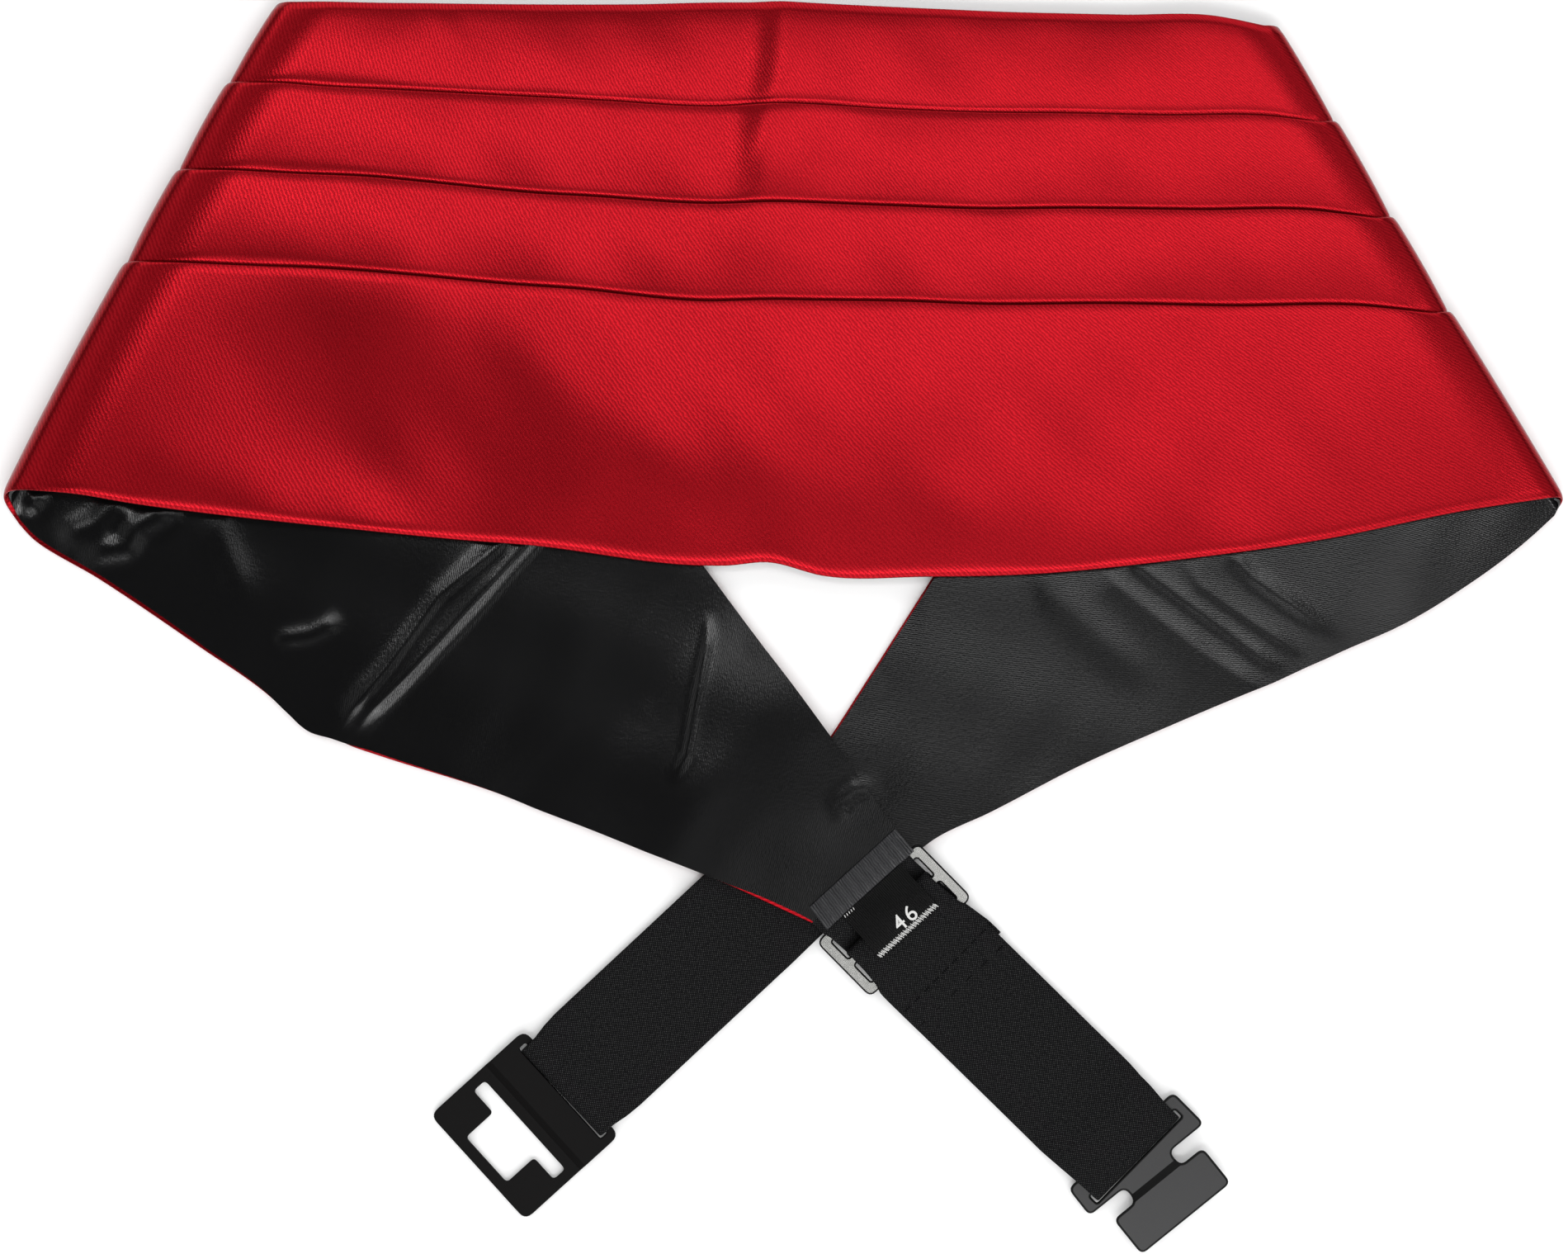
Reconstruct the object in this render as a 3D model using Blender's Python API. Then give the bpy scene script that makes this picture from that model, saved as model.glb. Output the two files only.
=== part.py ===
"""Cummerbund laid out flat: a pleated red satin front whose two wings turn under at the
sides, cross each other and end in elastic straps with a hook and a buckle plate.

Sizes are in millimetres until a mesh is made. X runs to the right along the front, Y runs
from the hook and buckle up to the top edge, Z is up from the surface that it lies on.
"""
from math import cos, pi, radians, sin

import bmesh
import bpy
import numpy as np

millimetre = 0.001

# Cloth
shell_wall = 1.0          # pleated satin with its interlining
lining_wall = 0.9         # black satin lining
seam_gap = 0.3            # between the shell, the lining and whatever lies on them
edge_round = 0.35         # rounding of a cut or turned edge
lining_inset = 0.8        # the lining stops this far inside the shell's edge

# Pleats: each lower band laps over the band above it, and its fold opens upwards
pleat_step = 1.2          # height of a folded edge above the band above it
pleat_mouth = 0.35        # clear height under a folded edge
pleat_tuck = 2.5          # depth of the mouth
pleat_lip = 0.4           # rounding of the folded edge
groove_depth = 0.45       # the same pleats pressed flat on the underside of the wings
groove_width = 0.9
band_points = (1, 1, 1, 3)  # extra points across each band

# Folds: the front turns under along two slanted lines
left_fold_angle = 241.5   # direction of the fold line from top to bottom, degrees from +X
right_fold_angle = 301.0
left_turn = {"top": 0.54, "low": 0.56}    # how far an edge slips along the fold as it turns
right_turn = {"top": 0.62, "low": 0.50}
turn_steps = 7
front_spacing = 10.0      # distance between neighbouring sections
wing_spacing = 15.0
wing_level = seam_gap / 2 + shell_wall    # height of the middle of a wing's wall

# Elastic straps
elastic_wall = 1.0
elastic_width = 30.4
turn_radius = 1.4         # middle of the elastic round a bar
long_overlap = 3.4        # how far each strap lies on the end of its wing
short_overlap = 5.5

# Metal
metal_wall = 1.2
bar_level = 1.3           # underside of the hook's and the buckle plate's bars
slider_level = 2.6
slider_length = 18.7
slider_width = 34.6
slider_rail = 2.8
slider_bar = 2.5
slider_middle_bar = 2.2

front_columns = ("top_x", "top_y", "top_rise", "low_x", "low_y", "low_rise",
                 "pleat_1", "pleat_2", "pleat_3")
# One row a section, left fold to right fold. A rise is the height of the middle of the
# wall; a pleat is its share of the way from the top edge down to the bottom edge.
front_sections = (
    (-118.1, 150.9, 8.0, -181.8, 33.0, 11.5, 0.169, 0.349, 0.538),
    (-109.4, 150.9, 7.8, -170.2, 32.0, 11.2, 0.169, 0.347, 0.535),
    (-101.3, 150.8, 7.2, -157.8, 29.9, 10.2, 0.170, 0.344, 0.528),
    (-85.3, 150.7, 6.0, -133.0, 26.7, 8.1, 0.171, 0.340, 0.520),
    (-69.6, 150.6, 5.2, -108.6, 24.1, 6.6, 0.173, 0.346, 0.521),
    (-49.9, 150.6, 4.6, -78.2, 21.1, 5.4, 0.177, 0.355, 0.526),
    (-39.8, 150.7, 4.4, -62.6, 19.9, 5.0, 0.180, 0.357, 0.528),
    (-11.8, 151.2, 4.2, -19.2, 14.9, 4.6, 0.185, 0.359, 0.532),
    (-8.4, 151.2, 4.3, -14.0, 14.9, 4.6, 0.183, 0.358, 0.531),
    (-2.2, 151.3, 5.0, -4.4, 15.7, 5.2, 0.177, 0.351, 0.524),
    (6.4, 150.9, 4.3, 9.4, 12.4, 4.4, 0.178, 0.350, 0.520),
    (22.1, 150.3, 4.2, 34.6, 12.2, 4.3, 0.181, 0.352, 0.519),
    (36.6, 149.7, 4.2, 57.8, 12.7, 4.3, 0.183, 0.355, 0.524),
    (59.5, 148.8, 4.3, 94.4, 16.2, 4.6, 0.185, 0.359, 0.533),
    (81.7, 148.3, 4.7, 130.2, 21.2, 5.3, 0.193, 0.373, 0.556),
    (104.0, 147.9, 5.5, 165.8, 28.4, 6.5, 0.202, 0.393, 0.586),
    (115.8, 145.5, 6.0, 184.5, 31.2, 7.0, 0.203, 0.405, 0.606),
)

wing_columns = ("top_x", "top_y", "low_x", "low_y", "lift", "puff")
# One row a section, fold to end. The lift raises the whole wall off the surface, and the
# puff raises the lining alone into a crease.
left_wing_sections = (
    (-115.2, 139.4, -183.2, 21.8, 0.0, 0.0),
    (-99.9, 119.6, -166.6, 11.6, 0.0, 0.0),
    (-77.0, 89.8, -142.0, -5.0, 0.0, 0.0),
    (-60.9, 68.9, -126.0, -16.2, 0.0, 0.0),
    (-55.6, 62.0, -121.0, -20.6, 0.0, 0.0),
    (-51.0, 56.0, -115.2, -25.4, 0.0, 0.3),
    (-48.0, 52.1, -109.8, -27.0, 0.0, 1.3),
    (-45.6, 49.1, -107.6, -27.9, 0.0, 0.4),
    (-43.3, 46.1, -105.4, -28.9, 0.0, 1.1),
    (-38.7, 40.1, -99.0, -31.1, 0.0, 0.0),
    (-22.4, 18.3, -70.0, -40.3, 0.0, 0.0),
    (-13.6, 6.4, -58.5, -44.8, 0.3, 0.0),
    (-6.2, -3.5, -46.5, -49.3, 1.2, 0.0),
    (1.5, -13.5, -34.2, -54.2, 2.1, 0.0),
    (11.7, -27.4, -20.2, -59.6, 2.6, 0.0),
    (27.4, -49.4, 5.0, -71.0, 2.6, 0.0),
    (30.6, -53.2, 9.0, -72.8, 2.6, 0.0),
)
right_wing_sections = (
    (108.9, 126.9, 180.2, 21.2, 0.0, 0.0),
    (90.6, 98.1, 165.8, 10.4, 0.0, 0.0),
    (71.0, 67.4, 148.0, -0.2, 0.0, 0.0),
    (60.7, 51.1, 135.6, -5.6, 0.0, 0.9),
    (56.1, 43.9, 130.6, -7.9, 0.0, 0.1),
    (52.6, 38.5, 125.6, -10.1, 0.0, 1.0),
    (51.5, 36.7, 122.4, -11.6, 0.0, 0.3),
    (50.3, 34.8, 119.4, -13.0, 0.0, 1.2),
    (46.9, 29.4, 112.0, -16.0, 0.0, 0.0),
    (40.0, 18.6, 94.4, -23.4, 0.0, 0.0),
    (29.6, 2.3, 72.2, -33.2, 0.0, 0.0),
    (18.1, -15.7, 49.8, -44.8, 0.0, 0.0),
    (11.0, -26.6, 35.8, -51.6, 0.0, 0.0),
    (5.6, -34.2, 28.0, -58.1, 0.0, 0.0),
    (2.0, -39.2, 23.2, -62.2, 0.0, 0.0),
)
crease_window = (0.42, 0.58, 0.90, 1.00)   # shares of the height where a crease swells, fades

# Where the hard pieces lie on the plan: a middle point and the direction they point in
slider_place = {"x": 26.5, "y": -70.9, "angle": -45.4}
long_strap_place = {"x": 26.5, "y": -70.9, "angle": -44.4}
short_strap_place = {"x": 12.6, "y": -50.7, "angle": -137.0}
hook_place = {"x": 87.8, "y": -131.5, "angle": -51.1}
plate_place = {"x": -63.2, "y": -120.9, "angle": -137.8}
tab_place = {"x": 25.7, "y": -68.8, "angle": -48.1}
long_strap_end = 82.9     # outer side of the elastic at the hook, from the slider's middle
short_strap_end = 91.3    # outer side of the elastic at the plate, from the wing's end


def smooth(values, low, high):
    """Ease from 0 at low to 1 at high."""
    share = np.clip((np.asarray(values, float) - low) / (high - low), 0.0, 1.0)
    return share * share * (3.0 - 2.0 * share)


def pick(rows, columns, *names):
    """The named columns of a table."""
    return rows[:, [columns.index(name) for name in names]]


def spread(rows, columns, spacing):
    """Fill a table with rows about one spacing apart, on cubic curves through its rows."""
    rows = np.asarray(rows, float)
    places = pick(rows, columns, "top_x", "top_y", "low_x", "low_y")
    steps = np.linalg.norm(np.diff(places, axis=0), axis=1)
    travel = np.concatenate(([0.0], np.cumsum(steps)))
    slopes = np.gradient(rows, travel, axis=0)
    filled = []
    for index, step in enumerate(steps):
        count = max(1, round(step / spacing))
        share = (np.arange(count) / count)[:, None]
        start, end = rows[index], rows[index + 1]
        leave, arrive = slopes[index] * step, slopes[index + 1] * step
        filled.append((2 * share**3 - 3 * share**2 + 1) * start
                      + (share**3 - 2 * share**2 + share) * leave
                      + (3 * share**2 - 2 * share**3) * end
                      + (share**3 - share**2) * arrive)
    filled.append(rows[-1:])
    return np.vstack(filled)


def turn_under(top, low, angle, side, slip):
    """Carry the two ends of a section round a fold line, from the front down to a wing."""
    line = np.array([cos(radians(angle)), sin(radians(angle)), 0.0])
    outward = side * np.array([-line[1], line[0], 0.0])
    upward = np.array([0.0, 0.0, 1.0])
    ends = []
    for end, name in ((top, "top"), (low, "low")):
        radius = (end[2] - wing_level) / 2
        turned = np.linspace(0.0, pi, turn_steps + 1)[:, None]
        centre = end - radius * upward
        ends.append(centre + radius * (np.sin(turned) * outward + np.cos(turned) * upward)
                    + slip[name] * radius * turned * line)
    return ends


def lay_wing(rows, start_top, start_low):
    """Sections of one wing, from just past its fold to its end."""
    first = (*start_top[:2], *start_low[:2], 0.0, 0.0)
    filled = spread((first,) + rows, wing_columns, wing_spacing)
    step = np.linalg.norm(filled[1, :4] - filled[0, :4])
    filled[0] += (filled[1] - filled[0]) * seam_gap * 1.5 / step
    lift = np.maximum(pick(filled, wing_columns, "lift"), 0.0)
    puff = np.maximum(pick(filled, wing_columns, "puff"), 0.0)[:, 0]
    top = np.hstack((pick(filled, wing_columns, "top_x", "top_y"), wing_level + lift))
    low = np.hstack((pick(filled, wing_columns, "low_x", "low_y"), wing_level + lift))
    return top, low, puff


def lay_garment():
    """All sections from the left wing's end, over the front, to the right wing's end. The
    pleats stand proud on the front and half way round each fold, then lie pressed flat."""
    front = spread(front_sections, front_columns, front_spacing)
    top = pick(front, front_columns, "top_x", "top_y", "top_rise")
    low = pick(front, front_columns, "low_x", "low_y", "low_rise")
    pleats = pick(front, front_columns, "pleat_1", "pleat_2", "pleat_3")
    left_top, left_low = turn_under(top[0], low[0], left_fold_angle, -1, left_turn)
    right_top, right_low = turn_under(top[-1], low[-1], right_fold_angle, 1, right_turn)
    wing_left = lay_wing(left_wing_sections, left_top[-1], left_low[-1])
    wing_right = lay_wing(right_wing_sections, right_top[-1], right_low[-1])
    left_count, right_count = len(wing_left[0]), len(wing_right[0])
    front_count = len(front) + 2 * turn_steps

    def join(left, left_fold, middle, right_fold, right):
        return np.concatenate((left[::-1], left_fold[::-1], middle, right_fold, right))

    turned = np.arange(1, turn_steps + 1) / turn_steps
    flatten = 1 - smooth(turned, 0.5, 1.0)
    flat = np.zeros(turn_steps)
    return {
        "top": join(wing_left[0], left_top[1:], top, right_top[1:], wing_right[0]),
        "low": join(wing_left[1], left_low[1:], low, right_low[1:], wing_right[1]),
        "pleats": join(np.tile(pleats[0], (left_count, 1)),
                       np.tile(pleats[0], (turn_steps, 1)), pleats,
                       np.tile(pleats[-1], (turn_steps, 1)),
                       np.tile(pleats[-1], (right_count, 1))),
        "proud": join(np.zeros(left_count), flatten, np.ones(len(front)), flatten,
                      np.zeros(right_count)),
        "puff": join(wing_left[2], flat, np.zeros(len(front)), flat, wing_right[2]),
        "left": (0, left_count),
        "front": (left_count, left_count + front_count),
        "right": (left_count + front_count, left_count + front_count + right_count),
    }


def stand_off(garment, share, height):
    """Points at a share of each section's height, moved out of the wall by a height."""
    top, low = garment["top"], garment["low"]
    middle = (top + low) / 2
    steps = np.linalg.norm(np.diff(middle, axis=0), axis=1)
    travel = np.concatenate(([0.0], np.cumsum(steps)))
    top_run = np.gradient(top, travel, axis=0)[:, None, :]
    low_run = np.gradient(low, travel, axis=0)[:, None, :]
    share = share[:, :, None]
    down = np.broadcast_to((low - top)[:, None, :], share.shape[:2] + (3,))
    along = (1 - share) * top_run + share * low_run
    out = np.cross(down, along)
    out /= np.linalg.norm(out, axis=2, keepdims=True)
    return top[:, None, :] + share * down + out * height[:, :, None]


def shell_ring(garment):
    """Shares and heights round the shell's wall: outer side with its pleats, then inside."""
    pleats, proud = garment["pleats"], garment["proud"]
    tall = np.linalg.norm(garment["low"] - garment["top"], axis=1)
    ones = np.ones(len(tall))
    back = seam_gap / 2
    skin = back + shell_wall
    shares, heights = [], []

    def add(share, height, wing_share=None, wing_height=skin):
        wing_share = share if wing_share is None else wing_share
        shares.append(proud * share + (1 - proud) * wing_share)
        heights.append(proud * height + (1 - proud) * wing_height)

    add(0 * ones, (back + skin) / 2, wing_height=(back + skin) / 2)
    add(edge_round / tall, skin)
    add(pleats[:, 0] / 2, skin)
    for number in range(3):
        fold = pleats[:, number]
        above = pleats[:, number - 1] if number else fold - 1.0
        after = pleats[:, number + 1] if number < 2 else ones
        lip, tuck, groove = pleat_lip / tall, pleat_tuck / tall, groove_width / tall
        rest = pleat_step * tuck / (fold + tuck - above) if number else 0.0
        floor = skin - groove_depth
        add(fold + lip, skin + rest, fold - lip / 2, skin)
        add(fold + tuck, skin, fold + lip / 2, floor)
        add(fold + tuck, skin + pleat_mouth, fold + groove, floor)
        add(fold + lip, skin + pleat_mouth, fold + groove, floor + groove_depth / 3)
        add(fold, skin + (pleat_mouth + pleat_step) / 2, fold + groove,
            floor + groove_depth * 2 / 3)
        add(fold + lip, skin + pleat_step, fold + groove + lip / 2, skin)
        count = band_points[number + 1]
        for point in range(1, count + 1):
            part = point / (count + 1)
            add(fold + part * (after - fold), skin + pleat_step * (1 - part))
    add(1 - edge_round / tall, skin)
    add(ones, (back + skin) / 2, wing_height=(back + skin) / 2)
    add(1 - edge_round / tall, back, wing_height=back)
    for part in (0.8, 0.6, 0.4, 0.2):
        add(part * ones, back, wing_height=back)
    add(edge_round / tall, back, wing_height=back)
    return np.array(shares).T, np.array(heights).T


def lining_ring(garment):
    """Shares and heights round the lining's wall, which swells where the cloth creases."""
    tall = np.linalg.norm(garment["low"] - garment["top"], axis=1)
    inset = lining_inset / tall
    parts = np.array((0.0, 0.2, 0.4, 0.5, 0.6, 0.75, 0.9, 1.0))
    swell, full, fade, none = crease_window
    window = smooth(parts, swell, full) * (1 - 0.8 * smooth(parts, fade, none))
    share = inset[:, None] + parts[None, :] * (1 - 2 * inset[:, None])
    puff = garment["puff"][:, None] * window[None, :]
    outer = -seam_gap / 2 - puff
    inner = outer - lining_wall
    return np.hstack((share, share[:, ::-1])), np.hstack((outer, inner[:, ::-1]))


def add_solid(name, vertices, faces, material):
    """Make one closed solid, its faces turned outwards, from points in millimetres."""
    mesh = bpy.data.meshes.new(name)
    mesh.from_pydata((np.asarray(vertices) * millimetre).tolist(), [], faces)
    work = bmesh.new()
    work.from_mesh(mesh)
    bmesh.ops.recalc_face_normals(work, faces=work.faces)
    work.to_mesh(mesh)
    work.free()
    mesh.materials.append(material)
    mesh.shade_smooth()
    mesh.set_sharp_from_angle(angle=radians(35))
    solid = bpy.data.objects.new(name, mesh)
    bpy.context.collection.objects.link(solid)


def add_rings(name, rings, material):
    """Join rings of points, one after the other, and close both ends."""
    rings = np.asarray(rings)
    count, size = rings.shape[:2]
    faces = []
    for ring in range(count - 1):
        for point in range(size):
            after = (point + 1) % size
            faces.append((ring * size + point, ring * size + after,
                          (ring + 1) * size + after, (ring + 1) * size + point))
    faces.append(tuple(range(size)))
    faces.append(tuple((count - 1) * size + point for point in range(size)))
    add_solid(name, rings.reshape(-1, 3), faces, material)


def add_walled(name, rings, material, inner_count):
    """The same for a wall: its ends are closed by strips from the outer to the inner side."""
    rings = np.asarray(rings)
    count, size = rings.shape[:2]
    faces = []
    for ring in range(count - 1):
        for point in range(size):
            after = (point + 1) % size
            faces.append((ring * size + point, ring * size + after,
                          (ring + 1) * size + after, (ring + 1) * size + point))
    for ring in (0, count - 1):
        faces += end_strip(rings[ring], ring * size, inner_count)
    add_solid(name, rings.reshape(-1, 3), faces, material)


def end_strip(ring, first, inner_count):
    """Triangles that close a wall's end, walking down its two sides together."""
    size = len(ring)
    outer = list(range(0, size - inner_count))
    inner = list(range(size - 1, size - inner_count - 1, -1))
    line = ring[outer[-1]] - ring[outer[0]]
    line = line / np.linalg.norm(line)
    down = (ring - ring[outer[0]]) @ line
    faces = []
    left = right = 0
    while left < len(outer) - 1 or right < len(inner) - 1:
        step_outer = right == len(inner) - 1 or (
            left < len(outer) - 1 and down[outer[left + 1]] <= down[inner[right + 1]])
        if step_outer:
            faces.append((first + outer[left], first + outer[left + 1], first + inner[right]))
            left += 1
        else:
            faces.append((first + outer[left], first + inner[right + 1], first + inner[right]))
            right += 1
    return faces


def on_plan(place, along, across):
    """A point in a piece's own directions, along it and to its left, on the plan."""
    angle = radians(place["angle"])
    return (place["x"] + along * cos(angle) - across * sin(angle),
            place["y"] + along * sin(angle) + across * cos(angle))


def add_ribbon(name, place, route, wall, material):
    """A flat band along a route of named columns: along, height, width and sideways shift."""
    route = np.asarray(route, float)
    run = np.gradient(route[:, 0:2], axis=0)
    run /= np.linalg.norm(run, axis=1, keepdims=True)
    rings = []
    for (along, height, width, shift), (forward, upward) in zip(route, run):
        ring = []
        for side, face in ((-1, -1), (1, -1), (1, 1), (-1, 1)):
            reach = along - face * upward * wall / 2
            x, y = on_plan(place, reach, shift + side * width / 2)
            ring.append((x, y, height + face * forward * wall / 2))
        rings.append(ring)
    add_rings(name, rings, material)


def arc_route(centre_along, centre_height, radius, start, end, width, shift, steps=8):
    """Part of a route that turns round a bar, between two angles in degrees."""
    rows = []
    for angle in np.radians(np.linspace(start, end, steps + 1)):
        rows.append((centre_along + radius * cos(angle), centre_height + radius * sin(angle),
                     width, shift))
    return rows


def rounded(corners, radius, steps=3):
    """An outline with each corner turned into a short arc."""
    corners = np.asarray(corners, float)
    points = []
    for index, corner in enumerate(corners):
        back = corners[index - 1] - corner
        ahead = corners[(index + 1) % len(corners)] - corner
        back_length, ahead_length = np.linalg.norm(back), np.linalg.norm(ahead)
        cut = min(radius, back_length * 0.45, ahead_length * 0.45)
        first = corner + back / back_length * cut
        last = corner + ahead / ahead_length * cut
        for step in range(steps + 1):
            share = step / steps
            points.append((1 - share) ** 2 * first + 2 * share * (1 - share) * corner
                          + share**2 * last)
    return points


def add_metal(name, place, outline, holes, level, bends, material):
    """A stamped plate: an outline with holes, one wall thick, bent up at lines across it."""
    work = bmesh.new()
    edges = []
    for loop in [outline] + holes:
        corners = [work.verts.new((point[0], point[1], 0.0)) for point in loop]
        for index, corner in enumerate(corners):
            edges.append(work.edges.new((corner, corners[(index + 1) % len(corners)])))
    bmesh.ops.triangle_fill(work, edges=edges, use_beauty=True, use_dissolve=False)
    raised = bmesh.ops.extrude_face_region(work, geom=work.faces[:])["geom"]
    for part in raised:
        if isinstance(part, bmesh.types.BMVert):
            part.co.z += metal_wall
    for along, _ in bends:
        bmesh.ops.bisect_plane(work, geom=work.verts[:] + work.edges[:] + work.faces[:],
                               plane_co=(along, 0.0, 0.0), plane_no=(1.0, 0.0, 0.0))
    for corner in work.verts:
        rise = np.interp(corner.co.x, [bend[0] for bend in bends],
                         [bend[1] for bend in bends]) if bends else 0.0
        x, y = on_plan(place, corner.co.x, corner.co.y)
        corner.co = (x, y, corner.co.z + level + rise)
    bmesh.ops.triangulate(work, faces=work.faces[:])
    vertices = [tuple(corner.co) for corner in work.verts]
    work.verts.index_update()
    faces = [tuple(corner.index for corner in face.verts) for face in work.faces]
    work.free()
    add_solid(name, vertices, faces, material)


def box_corners(low_along, high_along, low_across, high_across):
    """The four corners of a rectangle, in order."""
    return [(low_along, low_across), (high_along, low_across),
            (high_along, high_across), (low_along, high_across)]


def add_cloth(garment, satin, lining):
    """Shell and lining of the front and of both wings."""
    shell_share, shell_height = shell_ring(garment)
    shell = stand_off(garment, shell_share, shell_height)
    lining_share, lining_height = lining_ring(garment)
    inside = stand_off(garment, lining_share, lining_height)
    names = {"front": "front", "left": "wing_left", "right": "wing_right"}
    for side, name in names.items():
        first, last = garment[side]
        add_walled("pleated_" + name, shell[first:last], satin, 6)
        start = first + 1 if side == "left" else first
        end = last - 1 if side == "right" else last
        add_walled("lining_" + name, inside[start:end], lining, 8)


def add_long_strap(elastic):
    """From the left wing's end over the slider's first bar, under its middle bar, along
    the underside to the hook, round the hook's bar and back over the slider, where its end
    turns round the middle bar and is sewn down between the two runs."""
    half_slider = slider_length / 2
    under = elastic_wall / 2
    over_slider = slider_level + metal_wall + seam_gap + under
    tucked = slider_level - seam_gap - under
    over_hook = bar_level + metal_wall + seam_gap + under
    lying = under * 3 + seam_gap
    hook_turn = long_strap_end - turn_radius - under
    narrow = slider_width - 2 * slider_rail - 3 * seam_gap
    hook_width = 28.4
    sewn_end = 20.7
    end_shift = 0.8
    start = -half_slider - 1.0 - long_overlap
    route = [
        (start, over_slider - 0.2, elastic_width - 1.4, 0.0),
        (start + 3.2, over_slider - 0.2, elastic_width - 1.4, 0.0),
        (-half_slider - 0.4, over_slider, narrow + 0.6, 0.0),
        (-half_slider + 1.2, over_slider, narrow, 0.0),
        (-half_slider + 2.4, over_slider - 0.05, narrow, 0.0),
        (-half_slider + 3.2, over_slider - 0.35, narrow, 0.0),
        (-3.1, under + 0.75, narrow, 0.0),
        (-2.2, under + 0.12, narrow, 0.0),
        (-1.0, under, narrow, 0.0),
        (half_slider, under, narrow + 0.4, 0.0),
        (half_slider + 5.0, under, elastic_width, 0.0),
        (40.0, under, elastic_width, 0.0),
        (hook_turn - 8.0, under, elastic_width - 0.8, 0.0),
        (hook_turn - 2.0, under, hook_width, 0.0),
    ]
    route += arc_route(hook_turn, under + turn_radius, turn_radius, -90, 90, hook_width, 0.0)
    route += [
        (hook_turn - 2.0, over_hook, hook_width, 0.0),
        (hook_turn - 10.5, over_hook, elastic_width - 0.8, 0.0),
        (hook_turn - 16.0, over_hook - 0.9, elastic_width, 0.0),
        (hook_turn - 21.0, lying, elastic_width, 0.0),
        (46.0, lying, elastic_width, 0.0),
        (sewn_end + 4.0, lying + 0.1, elastic_width, 0.0),
        (sewn_end + 1.2, lying + 1.1, elastic_width, 0.0),
        (sewn_end - 2.0, lying + 1.3, elastic_width, 0.0),
        (half_slider + 4.0, lying + 1.5, elastic_width, 0.0),
        (half_slider + 0.8, over_slider - 0.2, elastic_width, 0.0),
        (half_slider - 1.4, over_slider, narrow + 0.6, 0.0),
        (2.0, over_slider, narrow, 0.0),
    ]
    route += arc_route(-slider_middle_bar / 2 + 0.3, (over_slider + tucked) / 2, turn_radius,
                       90, 270, narrow, 0.0)
    route += [
        (2.0, tucked, narrow, 0.3),
        (half_slider, tucked, narrow + 0.6, end_shift * 0.7),
        (sewn_end - 4.0, tucked, elastic_width, end_shift),
        (sewn_end, tucked, elastic_width, end_shift),
    ]
    add_ribbon("strap_long", long_strap_place, route, elastic_wall, elastic)


def add_short_strap(elastic):
    """From the right wing's end to the buckle plate, round its bar and back underneath."""
    under = elastic_wall / 2
    lying = under * 3 + seam_gap
    over_plate = bar_level + metal_wall + seam_gap + under
    turn = short_strap_end - turn_radius - under
    plate_width = 28.4
    sewn_end = 28.5
    route = [
        (-short_overlap, lying, elastic_width - 4.0, 0.0),
        (3.0, lying, elastic_width - 1.0, 0.0),
        (sewn_end, lying, elastic_width, 0.0),
        (turn - 30.0, lying, elastic_width, 0.0),
        (turn - 10.0, lying, elastic_width, 0.0),
        (turn - 6.0, over_plate - 0.8, elastic_width - 0.6, 0.0),
        (turn - 2.0, over_plate, plate_width, 0.0),
    ]
    route += arc_route(turn, under + turn_radius, turn_radius, 90, -90, plate_width, 0.0)
    route += [
        (turn - 3.0, under, plate_width, 0.0),
        (turn - 10.0, under, elastic_width - 0.4, 0.0),
        (turn - 30.0, under, elastic_width - 0.4, 0.0),
        (sewn_end, under, elastic_width - 0.4, 0.0),
    ]
    add_ribbon("strap_short", short_strap_place, route, elastic_wall, elastic)


def add_slider(metal):
    """A three-bar slider: a rounded frame with two openings for the elastic."""
    half_length, half_width = slider_length / 2, slider_width / 2
    inner = half_width - slider_rail
    outline = rounded(box_corners(-half_length, half_length, -half_width, half_width), 2.0)
    holes = []
    for side in (-1, 1):
        near, far = slider_middle_bar / 2, half_length - slider_bar
        low, high = sorted((side * near, side * far))
        holes.append(rounded(box_corners(low, high, -inner, inner), 0.6, 1))
    add_metal("slider", slider_place, outline, holes, slider_level, [], metal)


def add_hook(metal):
    """A plate with a slot for the elastic, and a T-shaped bar raised on a neck."""
    slot_turn = radians(hook_place["angle"] - long_strap_place["angle"])
    neck, neck_length = 6.95, 4.3
    bar_half, bar_far = 13.9, 15.2
    outline = rounded([(-8.2, -17.8), (0.2, -17.9), (0.2, -neck), (neck_length, -neck),
                       (neck_length, -bar_half), (bar_far, -bar_half), (bar_far, bar_half),
                       (neck_length, bar_half), (neck_length, neck), (0.2, neck),
                       (0.2, 17.9), (-10.5, 16.8)], 1.4)
    slot = []
    slot_length, slot_near, slot_far = 29.4, -1.9, 0.5
    strap_x, strap_y = on_plan(long_strap_place, long_strap_end, 0.0)
    turn = radians(hook_place["angle"])
    off_x, off_y = strap_x - hook_place["x"], strap_y - hook_place["y"]
    middle = (off_x * cos(turn) + off_y * sin(turn), -off_x * sin(turn) + off_y * cos(turn))
    for along, across in box_corners(slot_near, slot_far, -slot_length / 2, slot_length / 2):
        slot.append((middle[0] + along * cos(-slot_turn) - across * sin(-slot_turn),
                     middle[1] + along * sin(-slot_turn) + across * cos(-slot_turn)))
    bends = [(0.4, 0.0), (neck_length - 0.4, 1.5)]
    add_metal("hook", hook_place, outline, [rounded(slot, 0.5, 1)], bar_level, bends, metal)


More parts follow.
